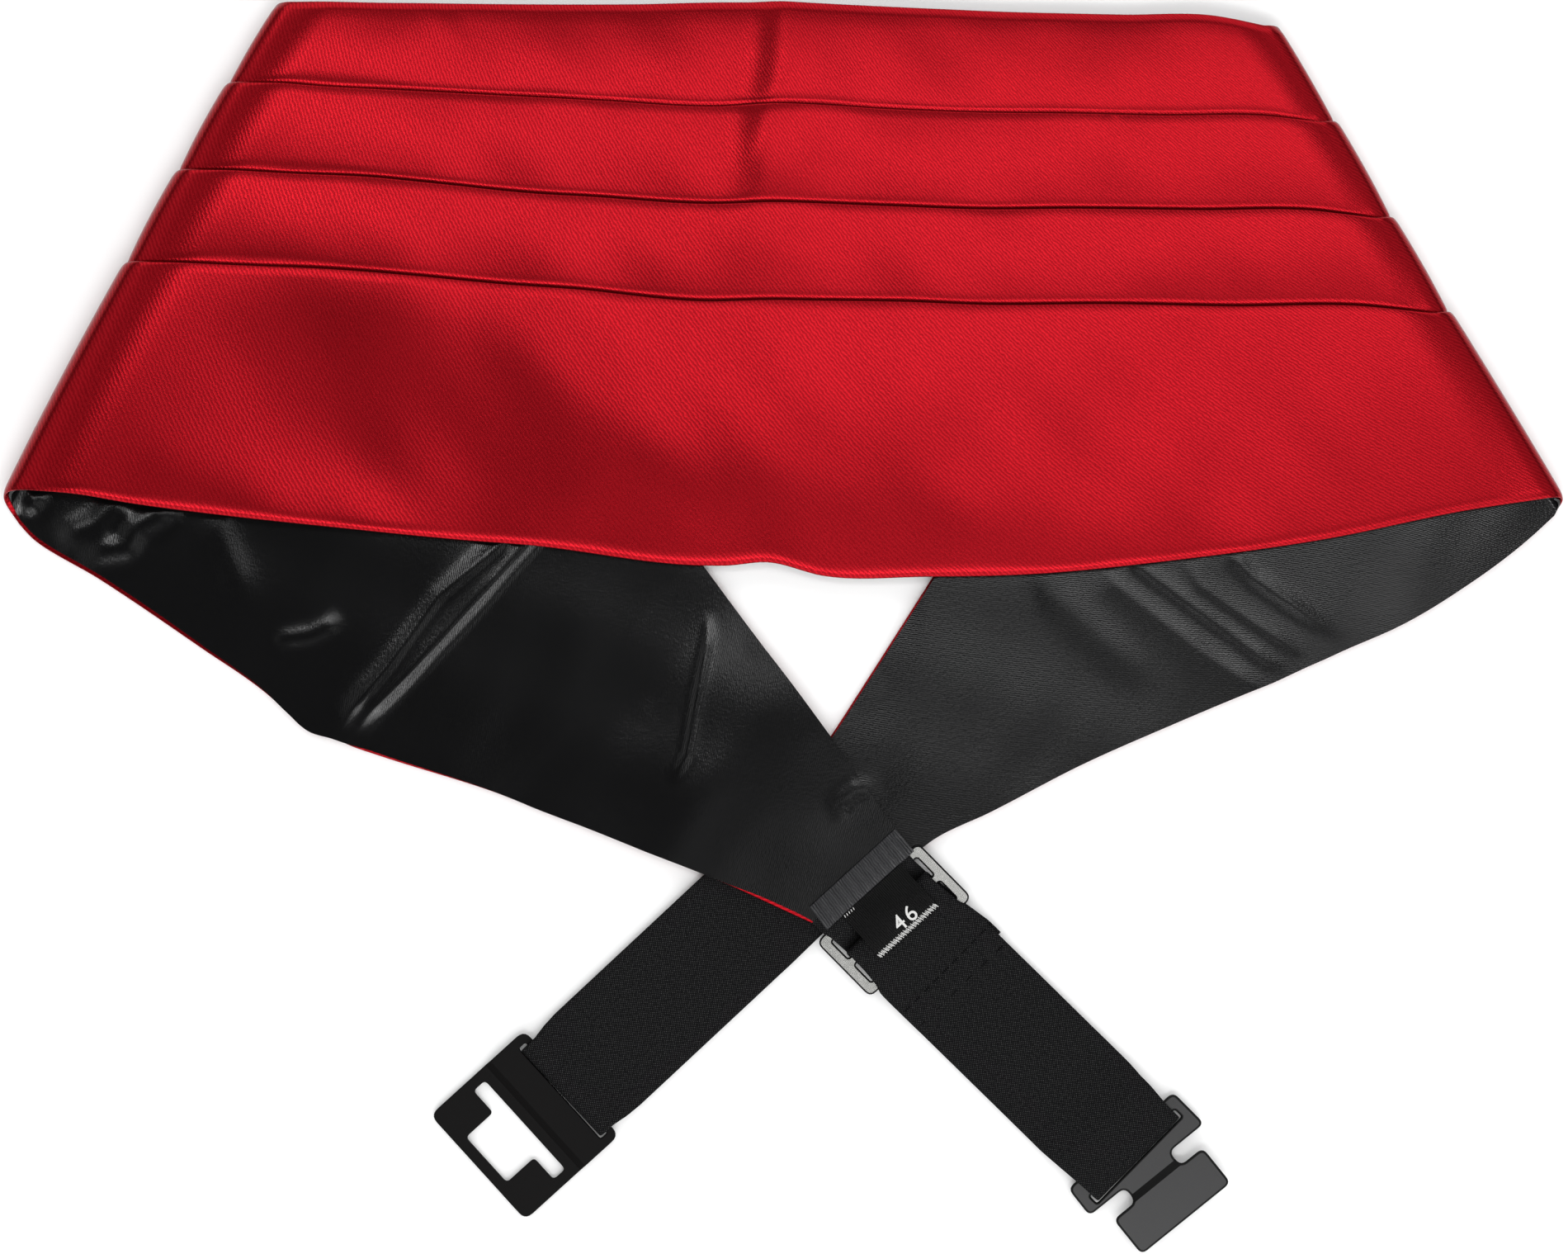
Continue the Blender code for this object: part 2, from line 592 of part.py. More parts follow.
def add_buckle_plate(metal):
    """A stamped plate with a slot for the elastic and a T-shaped opening for the hook."""
    half_length, half_width = 15.4, 17.2
    outline = rounded(box_corners(-half_length, half_length, -half_width, half_width), 2.4)
    strap_slot = box_corners(-13.65, -11.5, -14.75, 14.75)
    cross_near, cross_far, cross_half = -0.1, 3.7, 14.5
    mouth_far, mouth_half = 12.6, 7.4
    hook_opening = [(cross_near, -cross_half), (cross_far, -cross_half),
                    (cross_far, -mouth_half), (mouth_far, -mouth_half),
                    (mouth_far, mouth_half), (cross_far, mouth_half),
                    (cross_far, cross_half), (cross_near, cross_half)]
    bends = [(-4.4, 0.0), (-2.7, -0.8)]
    add_metal("buckle_plate", plate_place, outline,
              [rounded(strap_slot, 0.5, 1), rounded(hook_opening, 0.9, 2)],
              bar_level, bends, metal)


def add_end_trims(binding_cloth, ribbon_cloth):
    """The ribbed binding over the end of the left wing, and the size tab beside it."""
    base = slider_level + metal_wall + 1.5
    upper = np.array(((26.6, -48.6), (6.2, -67.4)))
    lower = np.array(((31.2, -54.0), (10.4, -73.0)))
    section = ((0.0, 0.0), (0.0, 0.45), (0.15, 0.8), (0.5, 1.0), (0.85, 0.85), (1.0, 0.45),
               (1.0, 0.0))
    rings = []
    for share in np.linspace(0.0, 1.0, 7):
        start = upper[0] + share * (upper[1] - upper[0])
        end = lower[0] + share * (lower[1] - lower[0])
        rings.append([(*(start + across * (end - start)), base + height)
                      for across, height in section])
    add_rings("end_binding", rings, binding_cloth)
    tab_base = slider_level + metal_wall + elastic_wall + 2 * seam_gap + 0.4
    tab_route = [(-7.1, tab_base, 18.8, 0.0), (-3.0, tab_base + 0.15, 18.8, 0.0),
                 (2.0, tab_base, 18.8, 0.0), (6.5, tab_base, 18.8, 0.0)]
    add_ribbon("size_tab", tab_place, tab_route, 0.7, ribbon_cloth)


def make_material(name, colour, roughness, metallic=0.0):
    """One Principled material."""
    material = bpy.data.materials.new(name)
    material.use_nodes = True
    shader = material.node_tree.nodes["Principled BSDF"]
    shader.inputs["Base Color"].default_value = (*colour, 1.0)
    shader.inputs["Roughness"].default_value = roughness
    shader.inputs["Metallic"].default_value = metallic
    return material


def centre_on_plan():
    """Move every point so that the plan's box is centred on the origin."""
    meshes = [thing.data for thing in bpy.data.objects]
    corners = np.array([corner.co for mesh in meshes for corner in mesh.vertices])
    middle = (corners.min(axis=0) + corners.max(axis=0)) / 2
    for mesh in meshes:
        for corner in mesh.vertices:
            corner.co.x -= middle[0]
            corner.co.y -= middle[1]


def main():
    for thing in list(bpy.data.objects):
        bpy.data.objects.remove(thing, do_unlink=True)
    satin = make_material("red_satin", (0.56, 0.008, 0.014), 0.35)
    lining = make_material("black_satin", (0.012, 0.012, 0.014), 0.4)
    elastic = make_material("black_elastic", (0.01, 0.01, 0.011), 0.85)
    binding = make_material("grey_ribbed_tape", (0.05, 0.05, 0.055), 0.7)
    ribbon = make_material("black_ribbon", (0.006, 0.006, 0.006), 0.4)
    nickel = make_material("nickel_plate", (0.6, 0.6, 0.6), 0.3, 1.0)
    hook_paint = make_material("grey_lacquer", (0.07, 0.07, 0.07), 0.4, 0.6)
    black_paint = make_material("black_lacquer", (0.008, 0.007, 0.006), 0.5, 0.3)
    garment = lay_garment()
    add_cloth(garment, satin, lining)
    add_long_strap(elastic)
    add_short_strap(elastic)
    add_slider(nickel)
    add_hook(hook_paint)
    add_buckle_plate(black_paint)
    add_end_trims(binding, ribbon)
    centre_on_plan()


main()
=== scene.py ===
import math

import bmesh
import bpy
import numpy as np
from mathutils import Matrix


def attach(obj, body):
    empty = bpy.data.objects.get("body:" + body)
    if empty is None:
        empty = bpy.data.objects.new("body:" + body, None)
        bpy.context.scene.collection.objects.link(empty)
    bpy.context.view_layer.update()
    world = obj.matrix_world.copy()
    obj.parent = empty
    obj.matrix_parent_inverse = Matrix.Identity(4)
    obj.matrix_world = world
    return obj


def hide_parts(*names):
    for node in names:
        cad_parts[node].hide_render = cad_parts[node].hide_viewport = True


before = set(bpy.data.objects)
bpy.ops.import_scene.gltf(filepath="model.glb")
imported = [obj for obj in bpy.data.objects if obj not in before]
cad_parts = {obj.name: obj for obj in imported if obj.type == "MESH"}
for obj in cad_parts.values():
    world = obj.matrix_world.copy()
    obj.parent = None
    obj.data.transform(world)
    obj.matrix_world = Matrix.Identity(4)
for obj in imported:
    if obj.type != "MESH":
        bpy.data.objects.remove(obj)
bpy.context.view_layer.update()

# Plan positions below are millimetres, with the middle of the photographed outline at
# 0, 0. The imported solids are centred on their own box, which lies this far away.
planShift = np.array([0.23, 0.12, 0.0])


def linear(hexColour):
    # sRGB hex to linear red, green, blue and 1
    channels = [int(hexColour[i:i + 2], 16) / 255 for i in (1, 3, 5)]
    return tuple(c / 12.92 if c <= 0.04045 else ((c + 0.055) / 1.055) ** 2.4
                 for c in channels) + (1.0,)


def connect(tree, node, links):
    # a socket takes the first output of its node, or of a pair (node, output) the one named
    for socket, source in links.items():
        feeder, output = source if isinstance(source, tuple) else (source, 0)
        tree.links.new(feeder.outputs[output], node.inputs[socket])


def addNode(tree, kind, settings, links):
    # one node: its own settings, values for its sockets, and what feeds its sockets
    node = tree.nodes.new("ShaderNode" + kind)
    for name, value in settings.items():
        if isinstance(name, str) and hasattr(node, name) and name not in node.inputs:
            setattr(node, name, value)
        else:
            node.inputs[name].default_value = value
    connect(tree, node, links)
    return node


def newMaterial(name, settings):
    material = bpy.data.materials.new(name)
    material.use_nodes = True
    shader = material.node_tree.nodes["Principled BSDF"]
    for socket, value in settings.items():
        shader.inputs[socket].default_value = value
    return material, material.node_tree, shader


def ease(values, low, high):
    # 0 up to low, 1 from high on, and a smooth S between them
    share = np.clip((values - low) / (high - low), 0.0, 1.0)
    return share * share * (3.0 - 2.0 * share)


def bell(values, middle, width):
    # 1 at the middle, falling off on both sides
    return np.exp(-((values - middle) / width) ** 2)


def heading(degrees):
    # a step of 1 on the plan, turned from +X
    return np.array([math.cos(math.radians(degrees)), math.sin(math.radians(degrees))])


def distanceAlong(points):
    # how far each point lies along the line through all of them
    return np.concatenate(([0.0], np.cumsum(np.linalg.norm(np.diff(points, axis=0), axis=1))))


def onPlan(place, along, across):
    # plan point of a distance along a part's own direction and one to its left
    forward = heading(place["angle"])
    return np.stack((place["x"] + along * forward[0] - across * forward[1],
                     place["y"] + along * forward[1] + across * forward[0]), axis=-1)


def layPiece(name, mesh):
    piece = bpy.data.objects.new(name, mesh)
    bpy.context.collection.objects.link(piece)
    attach(piece, "root")
    return piece


def smoothUpTo(mesh, degrees):
    # smooth shading, but sharp where faces meet at a larger angle
    mesh.shade_smooth()
    mesh.set_sharp_from_angle(angle=math.radians(degrees))


def fillEnds(mesh):
    # close the open rings at both ends and turn all faces outwards
    work = bmesh.new()
    work.from_mesh(mesh)
    bmesh.ops.holes_fill(work, edges=[edge for edge in work.edges if edge.is_boundary], sides=0)
    bmesh.ops.recalc_face_normals(work, faces=work.faces)
    work.to_mesh(mesh)
    work.free()


def makePiece(name, points, faces, material, sharpAngle, uv=None, openEnds=False):
    # points in millimetres, any shape that ends in 3; uv in metres, one for each point
    mesh = bpy.data.meshes.new(name)
    flatPoints = (np.asarray(points, float).reshape(-1, 3) + planShift) * 0.001
    mesh.vertices.add(len(flatPoints))
    mesh.vertices.foreach_set("co", flatPoints.ravel())
    mesh.loops.add(faces.size)
    mesh.loops.foreach_set("vertex_index", faces.ravel())
    mesh.polygons.add(len(faces))
    mesh.polygons.foreach_set("loop_start", np.arange(len(faces)) * faces.shape[1])
    mesh.update(calc_edges=True)
    if uv is not None:
        layer = mesh.uv_layers.new(name="cloth")
        layer.data.foreach_set("uv", uv.reshape(-1, 2)[faces.ravel()].ravel())
    mesh.materials.append(material)
    if openEnds:
        fillEnds(mesh)
    smoothUpTo(mesh, sharpAngle)
    return layPiece(name, mesh)


def tubeFaces(rings, size, flip=False):
    # quads between neighbouring rings of points, each ring closed on itself
    ring, point = np.meshgrid(np.arange(rings - 1), np.arange(size), indexing="ij")
    after = (point + 1) % size
    faces = np.stack((ring * size + point, ring * size + after,
                      (ring + 1) * size + after, (ring + 1) * size + point), axis=-1)
    faces = faces.reshape(-1, 4)
    return faces[:, ::-1] if flip else faces


def closeWall(rings, outerCount, innerCount, flip):
    # quads across the wall at both ends: every outer point pairs with an inner one
    size = outerCount + innerCount
    outer = np.arange(outerCount)
    inner = size - 1 - np.round(outer * (innerCount - 1) / (outerCount - 1)).astype(int)
    strip = np.stack((outer[:-1], inner[:-1], inner[1:], outer[1:]), axis=-1)
    first, last = (strip[:, ::-1], strip) if flip else (strip, strip[:, ::-1])
    return np.vstack((first, last + (rings - 1) * size))


cloth = {
    "frontStep": 1.5, "wingStep": 1.1, "turnSteps": 16,
    "seamGap": 0.3, "shellWall": 1.0, "liningWall": 0.7,
    "easeRun": 11.0, "easeDrop": 0.8,      # the cloth starts to go down before each fold
    "bowReach": 34.0,                      # how far from a fold its bow can be seen
    "swellEnds": (70.0, 60.0),             # the front's swells ease out before both folds
}
# fold lines, in degrees from +X, top to bottom; the slip along them at the top and the
# bottom edge; and how far they bow outwards (below 0: inwards)
leftFold = {"angle": 241.5, "side": -1, "slip": (0.54, 0.56), "bow": 0.8}
rightFold = {"angle": 301.0, "side": 1, "slip": (0.62, 0.50), "bow": -0.9}

frontColumns = ("topX", "topY", "topRise", "lowX", "lowY", "lowRise", "pleat1", "pleat2", "pleat3")
frontSections = (
    (-118.1, 150.9, 8.0, -181.8, 33.0, 11.5, 0.169, 0.349, 0.538),
    (-109.4, 150.9, 7.8, -170.2, 32.0, 11.2, 0.169, 0.347, 0.535),
    (-101.3, 150.8, 7.2, -157.8, 29.9, 10.2, 0.170, 0.344, 0.528),
    (-85.3, 150.7, 6.0, -133.0, 26.7, 8.1, 0.171, 0.340, 0.520),
    (-69.6, 150.6, 5.2, -108.6, 24.1, 6.6, 0.173, 0.346, 0.521),
    (-49.9, 150.6, 4.6, -78.2, 21.1, 5.4, 0.177, 0.355, 0.526),
    (-39.8, 150.7, 4.4, -62.6, 19.9, 5.0, 0.180, 0.357, 0.528),
    (-11.8, 151.2, 4.3, -19.2, 14.9, 4.6, 0.185, 0.359, 0.532),
    (-8.4, 151.2, 4.3, -14.0, 14.9, 4.58, 0.183, 0.358, 0.531),
    (-2.2, 151.3, 4.3, -4.4, 15.7, 4.52, 0.183, 0.359, 0.533),
    (6.4, 150.9, 4.3, 9.4, 12.4, 4.45, 0.178, 0.350, 0.520),
    (22.1, 150.3, 4.25, 34.6, 12.2, 4.4, 0.181, 0.352, 0.519),
    (36.6, 149.7, 4.25, 57.8, 12.7, 4.45, 0.183, 0.355, 0.524),
    (59.5, 148.8, 4.3, 94.4, 16.2, 4.65, 0.185, 0.359, 0.533),
    (81.7, 148.3, 4.7, 130.2, 21.2, 5.3, 0.193, 0.373, 0.556),
    (104.0, 147.9, 5.5, 165.8, 28.4, 6.5, 0.202, 0.393, 0.586),
    (115.8, 145.5, 6.0, 184.5, 31.2, 7.0, 0.203, 0.405, 0.606),
)

wingColumns = ("topX", "topY", "lowX", "lowY", "lift")
leftWing = (
    (-115.2, 139.4, -183.2, 21.8, 0),
    (-99.9, 119.6, -166.6, 11.6, 0),
    (-77, 89.8, -142, -5, 0),
    (-60.9, 68.9, -126, -16.2, 0),
    (-55.6, 62, -121, -20.6, 0),
    (-51, 56, -115.2, -25.4, 0),
    (-48, 52.1, -109.8, -27, 0),
    (-45.6, 49.1, -107.6, -27.9, 0),
    (-43.3, 46.1, -105.4, -28.9, 0),
    (-38.7, 40.1, -99, -31.1, 0),
    (-22.4, 18.3, -70, -40.3, 0),
    (-13.6, 6.4, -58.5, -44.8, 0.3),
    (-6.2, -3.5, -46.5, -49.3, 1.2),
    (1.5, -13.5, -34.2, -54.2, 2.1),
    (11.7, -27.4, -20.2, -59.6, 2.6),
    (27.4, -49.4, 5, -71, 2.6),
    (30.6, -53.2, 9, -72.8, 2.6),
)
rightWing = (
    (108.9, 126.9, 180.2, 21.2, 0),
    (90.6, 98.1, 165.8, 10.4, 0),
    (71, 67.4, 148, -0.2, 0),
    (60.7, 51.1, 135.6, -5.6, 0),
    (56.1, 43.9, 130.6, -7.9, 0),
    (52.6, 38.5, 125.6, -10.1, 0),
    (51.5, 36.7, 122.4, -11.6, 0),
    (50.3, 34.8, 119.4, -13, 0),
    (46.9, 29.4, 112, -16, 0),
    (40, 18.6, 94.4, -23.4, 0),
    (29.6, 2.3, 72.2, -33.2, 0),
    (18.1, -15.7, 49.8, -44.8, 0),
    (11, -26.6, 35.8, -51.6, 0),
    (5.6, -34.2, 28, -58.1, 0),
    (2, -39.2, 23.2, -62.2, 0),
)


def pick(rows, columns, *names):
    return rows[:, [columns.index(name) for name in names]]


def fillTable(rows, columns, spacing):
    # Hermite curves through the rows: each column as a cubic of the distance travelled
    rows = np.asarray(rows, float)
    travel = distanceAlong(pick(rows, columns, "topX", "topY", "lowX", "lowY"))
    slopes = np.gradient(rows, travel, axis=0)
    wanted = np.linspace(0.0, travel[-1], int(round(travel[-1] / spacing)) + 1)
    index = np.clip(np.searchsorted(travel, wanted, side="right") - 1, 0, len(rows) - 2)
    step = (travel[index + 1] - travel[index])[:, None]
    t = (wanted - travel[index])[:, None] / step
    return ((2 * t**3 - 3 * t**2 + 1) * rows[index] + (t**3 - 2 * t**2 + t) * step * slopes[index]
            + (3 * t**2 - 2 * t**3) * rows[index + 1] + (t**3 - t**2) * step * slopes[index + 1])


def foldAxes(fold):
    # along the fold line, and square to it, away from the front
    x, y = heading(fold["angle"])
    return np.array([x, y, 0.0]), fold["side"] * np.array([-y, x, 0.0])


def layCloth():
    # Straight sections from the left wing's end, round both folds, to the right wing's
    # end. Round a fold an edge goes down half a circle and slips along the fold line.
    level = cloth["seamGap"] / 2 + cloth["shellWall"]
    front = fillTable(frontSections, frontColumns, cloth["frontStep"])
    top = pick(front, frontColumns, "topX", "topY", "topRise")
    low = pick(front, frontColumns, "lowX", "lowY", "lowRise")
    turns = np.arange(1, cloth["turnSteps"] + 1) / cloth["turnSteps"]
    a = (turns * math.pi)[:, None]

    def roundFold(end, fold, slip):
        along, outward = foldAxes(fold)
        radius = (end[2] - level) / 2
        settle = (1 + np.cos(a)) / 2 * (1 + 2 * radius / cloth["easeRun"] * np.sin(a))
        return (end - [0, 0, radius] + radius * (np.sin(a) * outward + np.cos(a) * [0, 0, 1])
                + slip * radius * a * along - settle * [0, 0, cloth["easeDrop"]])

    def layWing(fold, end, rows):
        # top and bottom edge from the front's end, round the fold, to the wing's end
        turned = [roundFold(edge[end], fold, slip) for edge, slip in zip((top, low), fold["slip"])]
        first = (*turned[0][-1, :2], *turned[1][-1, :2], 0.0)
        filled = fillTable((first,) + rows, wingColumns, cloth["wingStep"])[1:]
        height = level + np.maximum(pick(filled, wingColumns, "lift"), 0.0)
        return [np.vstack((turn, np.hstack((pick(filled, wingColumns, x, y), height))))
                for turn, x, y in zip(turned, ("topX", "lowX"), ("topY", "lowY"))]

    left = layWing(leftFold, 0, leftWing)
    right = layWing(rightFold, -1, rightWing)
    gone = distanceAlong((top + low) / 2)
    near = np.clip(1 - np.minimum(gone, gone[-1] - gone) / cloth["easeRun"], 0, 1)
    for edge in (top, low):
        edge[:, 2] -= cloth["easeDrop"] * near**2

    # how many sections lie before the front, on it and after it
    before, onIt, after = len(left[0]), len(front), len(right[0])
    turning = 1 - ease(turns, 0.5, 1.0)
    course = {
        "top": np.concatenate((left[0][::-1], top, right[0])),
        "low": np.concatenate((left[1][::-1], low, right[1])),
        "pleats": np.pad(pick(front, frontColumns, "pleat1", "pleat2", "pleat3"),
                         ((before, after), (0, 0)), "edge"),
        "proud": np.pad(np.concatenate((turning[::-1], np.ones(onIt), turning)),
                        (before - len(turns), after - len(turns))),
        "leftCount": before, "rightStart": before + onIt,
    }
    travel = distanceAlong((course["top"] + course["low"]) / 2)
    course["travel"] = travel
    course["tall"] = np.linalg.norm(course["low"] - course["top"], axis=1)
    course["foldL"] = travel[before - len(turns) // 2]
    course["foldR"] = travel[before + onIt + len(turns) // 2]
    course["bow"] = sum(fold["bow"] * bell(travel, middle, cloth["bowReach"])[:, None]
                        * foldAxes(fold)[1]
                        for fold, middle in ((leftFold, course["foldL"]),
                                             (rightFold, course["foldR"])))
    # 1 on the front, easing to 0 before both folds
    starts, ends = travel[before], travel[before + onIt - 1]
    course["onFront"] = (ease(travel, starts, starts + cloth["swellEnds"][0])
                         * (1 - ease(travel, ends - cloth["swellEnds"][1], ends)))
    return course


course = layCloth()
sections = len(course["travel"])
print("course of the cloth:", sections, "sections")


def standOff(share, height):
    # point = top + share * (low - top) + bow * 4 share (1 - share) + height * normal,
    # with the normal square to the section and to the run of the cloth
    top, low, travel = course["top"], course["low"], course["travel"]
    topRun = np.gradient(top, travel, axis=0)[:, None, :]
    lowRun = np.gradient(low, travel, axis=0)[:, None, :]
    s = share[:, :, None]
    down = np.broadcast_to((low - top)[:, None, :], s.shape[:2] + (3,))
    out = np.cross(down, (1 - s) * topRun + s * lowRun)
    out /= np.linalg.norm(out, axis=2, keepdims=True)
    arch = 4 * np.clip(s, 0, 1) * (1 - np.clip(s, 0, 1))
    return top[:, None, :] + s * down + arch * course["bow"][:, None, :] + out * height[:, :, None]


def clothUv(share):
    # u runs along the cloth and v from the top edge down, both in metres
    u = np.broadcast_to(course["travel"][:, None], share.shape)
    return np.stack((u, share * course["tall"][:, None]), axis=-1) * 0.001


def lineRelief(x, y, ridge, even=False):
    # A soft ridge along a bent line: height * exp(-(distance / reach)^2), with its own
    # reach on either side, fading in and out towards its two ends. An even one has
    # straight flanks: height * log(1 + exp(4 - 4 distance / reach)) / log(1 + exp 4).
    height, leftReach, rightReach, fadeIn, fadeOut, *line = ridge
    rows = np.asarray(line, float)
    best = np.full(x.shape, np.inf)
    along, side = np.zeros(x.shape), np.zeros(x.shape)
    marks = distanceAlong(rows)
    for (ax, ay), (bx, by), start, end in zip(rows[:-1], rows[1:], marks[:-1], marks[1:]):
        t = ((x - ax) * (bx - ax) + (y - ay) * (by - ay)) / (end - start)**2
        t = np.clip(t, 0.0, 1.0)
        gap = np.hypot(x - ax - t * (bx - ax), y - ay - t * (by - ay))
        nearer = gap < best
        best = np.where(nearer, gap, best)
        along = np.where(nearer, (start + t * (end - start)) / marks[-1], along)
        side = np.where(nearer, (bx - ax) * (y - ay) - (by - ay) * (x - ax), side)
    strength = ease(along, 0.0, fadeIn) * (1 - ease(along, 1 - fadeOut, 1.0))
    share = best / np.where(side > 0, leftReach, rightReach)
    if even:
        return height * strength * np.log1p(np.exp(4 * (1 - share))) / math.log1p(math.exp(4.0))
    return height * strength * np.exp(-share**2)


def satinMaterial(name, look):
    # Polyester satin: long floats lie side by side, so the sheen is broad across the
    # threads and narrow along them, and a fine slanted weave breaks it up.
    material, tree, shader = newMaterial(name, {
        "Metallic": look["metallic"], "Roughness": look["roughness"],
        "Anisotropic": look["anisotropy"], "Anisotropic Rotation": look["rotation"],
        "Specular IOR Level": look["specular"]})
    uv = addNode(tree, "UVMap", {"uv_map": "cloth"}, {})
    tangent = addNode(tree, "Tangent", {"direction_type": "UV_MAP", "uv_map": "cloth"}, {})
    slant = addNode(tree, "Mapping", {"Rotation": (0, 0, math.radians(look["slant"]))},
                    {"Vector": uv})
    # bands spaced by the thread pitch: Wave repeats every 2 pi / 20 units at scale 1
    weave = addNode(tree, "TexWave", {
        "wave_type": "BANDS", "bands_direction": "X", "Scale": 0.314 / (look["pitch"] * 0.001),
        "Distortion": 3.0, "Detail": 1.0, "Detail Scale": 2.0}, {"Vector": slant})
    grain = addNode(tree, "TexNoise", {"Scale": 1.0 / (look["grain"] * 0.001), "Detail": 2.0},
                    {"Vector": uv})
    mixed = addNode(tree, "Math", {"operation": "MULTIPLY_ADD", 1: 1.0},
                    {0: (grain, "Fac"), 2: (weave, "Fac")})
    # the weave shades the colour and the roughness, and single floats catch the light
    # unevenly, by half of the gloss either way
    rough, swing, gloss = look["roughness"], look["glossSwing"], look["specular"]
    shading, roughness, level = [
        addNode(tree, "MapRange", {"From Min": 0.4, "From Max": 1.6, "To Min": low,
                                   "To Max": high}, {"Value": mixed})
        for low, high in ((1 - look["toneSwing"], 1.0), (rough + swing, rough - swing),
                          (gloss * 0.5, gloss * 1.5))]
    shade = addNode(tree, "Mix", {"data_type": "RGBA", "blend_type": "MULTIPLY", "Factor": 1.0,
                                  6: linear(look["colour"])}, {7: shading})
    bump = addNode(tree, "Bump", {"Strength": look["bump"], "Distance": 0.0001},
                   {"Height": mixed})
    connect(tree, shader, {"Base Color": (shade, 2), "Roughness": roughness,
                           "Specular IOR Level": level, "Normal": bump, "Tangent": tangent})
    return material


# what the two narrow weaves share
narrowWeave = {"metallic": 0.0, "anisotropy": 0.5, "rotation": 0.0, "slant": 0.0,
               "grain": 0.4, "glossSwing": 0.05}
# real threads lie at about 0.1 mm; the weave is drawn at 0.8 mm in the red satin and at
# 0.5 mm in the lining, so that it still shows at this picture size
redSatin = satinMaterial("redPolyesterSatin", {
    "colour": "#9a0e19", "metallic": 0.78, "roughness": 0.25, "specular": 0.1,
    "anisotropy": 0.5, "rotation": 0.25, "slant": 38.0, "pitch": 0.8, "grain": 0.55,
    "toneSwing": 0.42, "glossSwing": 0.03, "bump": 0.1})
blackSatin = satinMaterial("blackLiningSatin", {
    "colour": "#0c0c0d", "metallic": 0.0, "roughness": 0.145, "specular": 0.3,
    "anisotropy": 0.6, "rotation": 0.0, "slant": -32.0, "pitch": 0.5, "grain": 0.55,
    "toneSwing": 0.9, "glossSwing": 0.07, "bump": 0.1})
# narrow black satin ribbon, woven to its width and pressed
ribbonSatin = satinMaterial("blackRibbonSatin", {
    **narrowWeave, "colour": "#040404", "roughness": 0.3, "specular": 0.08,
    "pitch": 0.5, "toneSwing": 0.5, "bump": 0.15})
# polyester grosgrain: a matt face over thick cross cords, its fine threads drawn at 0.6 mm
ribbedTape = satinMaterial("ribbedBindingSatin", {
    **narrowWeave, "colour": "#1b1b1e", "roughness": 0.45, "specular": 0.4,
    "pitch": 0.62, "toneSwing": 0.35, "bump": 0.4})


def elasticMaterial(name, look):
    # Woven elastic: covered rubber cords make ribs across the band, and on each rib
    # short floats of dull yarn catch the light as a row of fine dots, drawn as a painted
    # highlight: lighter grey dots mixed into the colour.
    material, tree, shader = newMaterial(name, {"Roughness": 0.7, "Specular IOR Level": 0.06})
    uv = addNode(tree, "UVMap", {"uv_map": "cloth"}, {})
    # both waves as -1 to 1: their product is a grid of dots, each row half a step on
    waves = [addNode(tree, "TexWave", {
        "wave_type": "BANDS", "bands_direction": direction, "Scale": 0.314 / (pitch * 0.001),
        "Distortion": 0.5, "Detail": 1.0, "Detail Scale": 2.0}, {"Vector": uv})
        for direction, pitch in (("X", look["ribPitch"]), ("Y", look["dotPitch"]))]
    ribs, floats = [addNode(tree, "MapRange", {"To Min": -1.0}, {"Value": (wave, "Fac")})
                    for wave in waves]
    grid = addNode(tree, "Math", {"operation": "MULTIPLY"}, {0: ribs, 1: floats})
    dots = addNode(tree, "MapRange", {"From Min": 0.15, "From Max": 0.9}, {"Value": grid})
    fuzz = addNode(tree, "TexNoise", {"Scale": look["tuftsPerMetre"], "Detail": 3.0},
                   {"Vector": uv})
    uneven = addNode(tree, "MapRange", {"From Min": 0.35, "From Max": 0.65, "To Min": 0.3,
                                        "To Max": 1.0}, {"Value": (fuzz, "Fac")})
    lit = addNode(tree, "Math", {"operation": "MULTIPLY"}, {0: dots, 1: uneven})
    # painted highlight: the lighter dot colour is mixed in where the floats would catch the light
    glintMix = addNode(tree, "Mix", {"data_type": "RGBA", 6: linear(look["colour"]),
                                 7: linear(look["paintedGlintColour"])}, {"Factor": lit})
    bump = addNode(tree, "Bump", {"Strength": 0.4, "Distance": 0.0002}, {"Height": dots})
    connect(tree, shader, {"Base Color": (glintMix, 2), "Normal": bump})
    return material


# the ribs are 0.6 mm apart and their dots 0.42 mm; both are drawn a little coarser
# the dots' light grey is a painted highlight on the floats
blackElastic = elasticMaterial("blackWovenElastic", {
    "colour": "#030304", "paintedGlintColour": "#444444", "ribPitch": 0.72, "dotPitch": 0.56,
    "tuftsPerMetre": 1400.0})


def metalMaterial(name, look):
    # Pressed steel: polished nickel, or lacquer baked over it; a faint grain of the
    # tumbling that deburred it spoils the reflection a little.
    material, tree, shader = newMaterial(name, {
        "Base Color": linear(look["colour"]), "Metallic": look["metallic"],
        "Roughness": look["roughness"], "Coat Weight": look["coat"], "Coat Roughness": 0.25,
        "Specular IOR Level": look["specular"]})
    place = addNode(tree, "TexCoord", {}, {})
    grain = addNode(tree, "TexNoise", {"Scale": 1.0 / (look["grain"] * 0.001), "Detail": 3.0},
                    {"Vector": (place, "Object")})
    spread = addNode(tree, "MapRange", {"To Min": look["roughness"] - 0.06,
                                        "To Max": look["roughness"] + 0.1},
                     {"Value": (grain, "Fac")})
    bump = addNode(tree, "Bump", {"Strength": look["bump"], "Distance": 0.0001},
                   {"Height": (grain, "Fac")})
    connect(tree, shader, {"Roughness": spread, "Normal": bump})
    return material


# steel wire frame stamped flat, nickel plated
nickel = metalMaterial("nickelPlatedSteel", {
    "colour": "#b0b0ad", "metallic": 1.0, "roughness": 0.22, "specular": 0.5, "coat": 0.0,
    "grain": 0.8, "bump": 0.05})
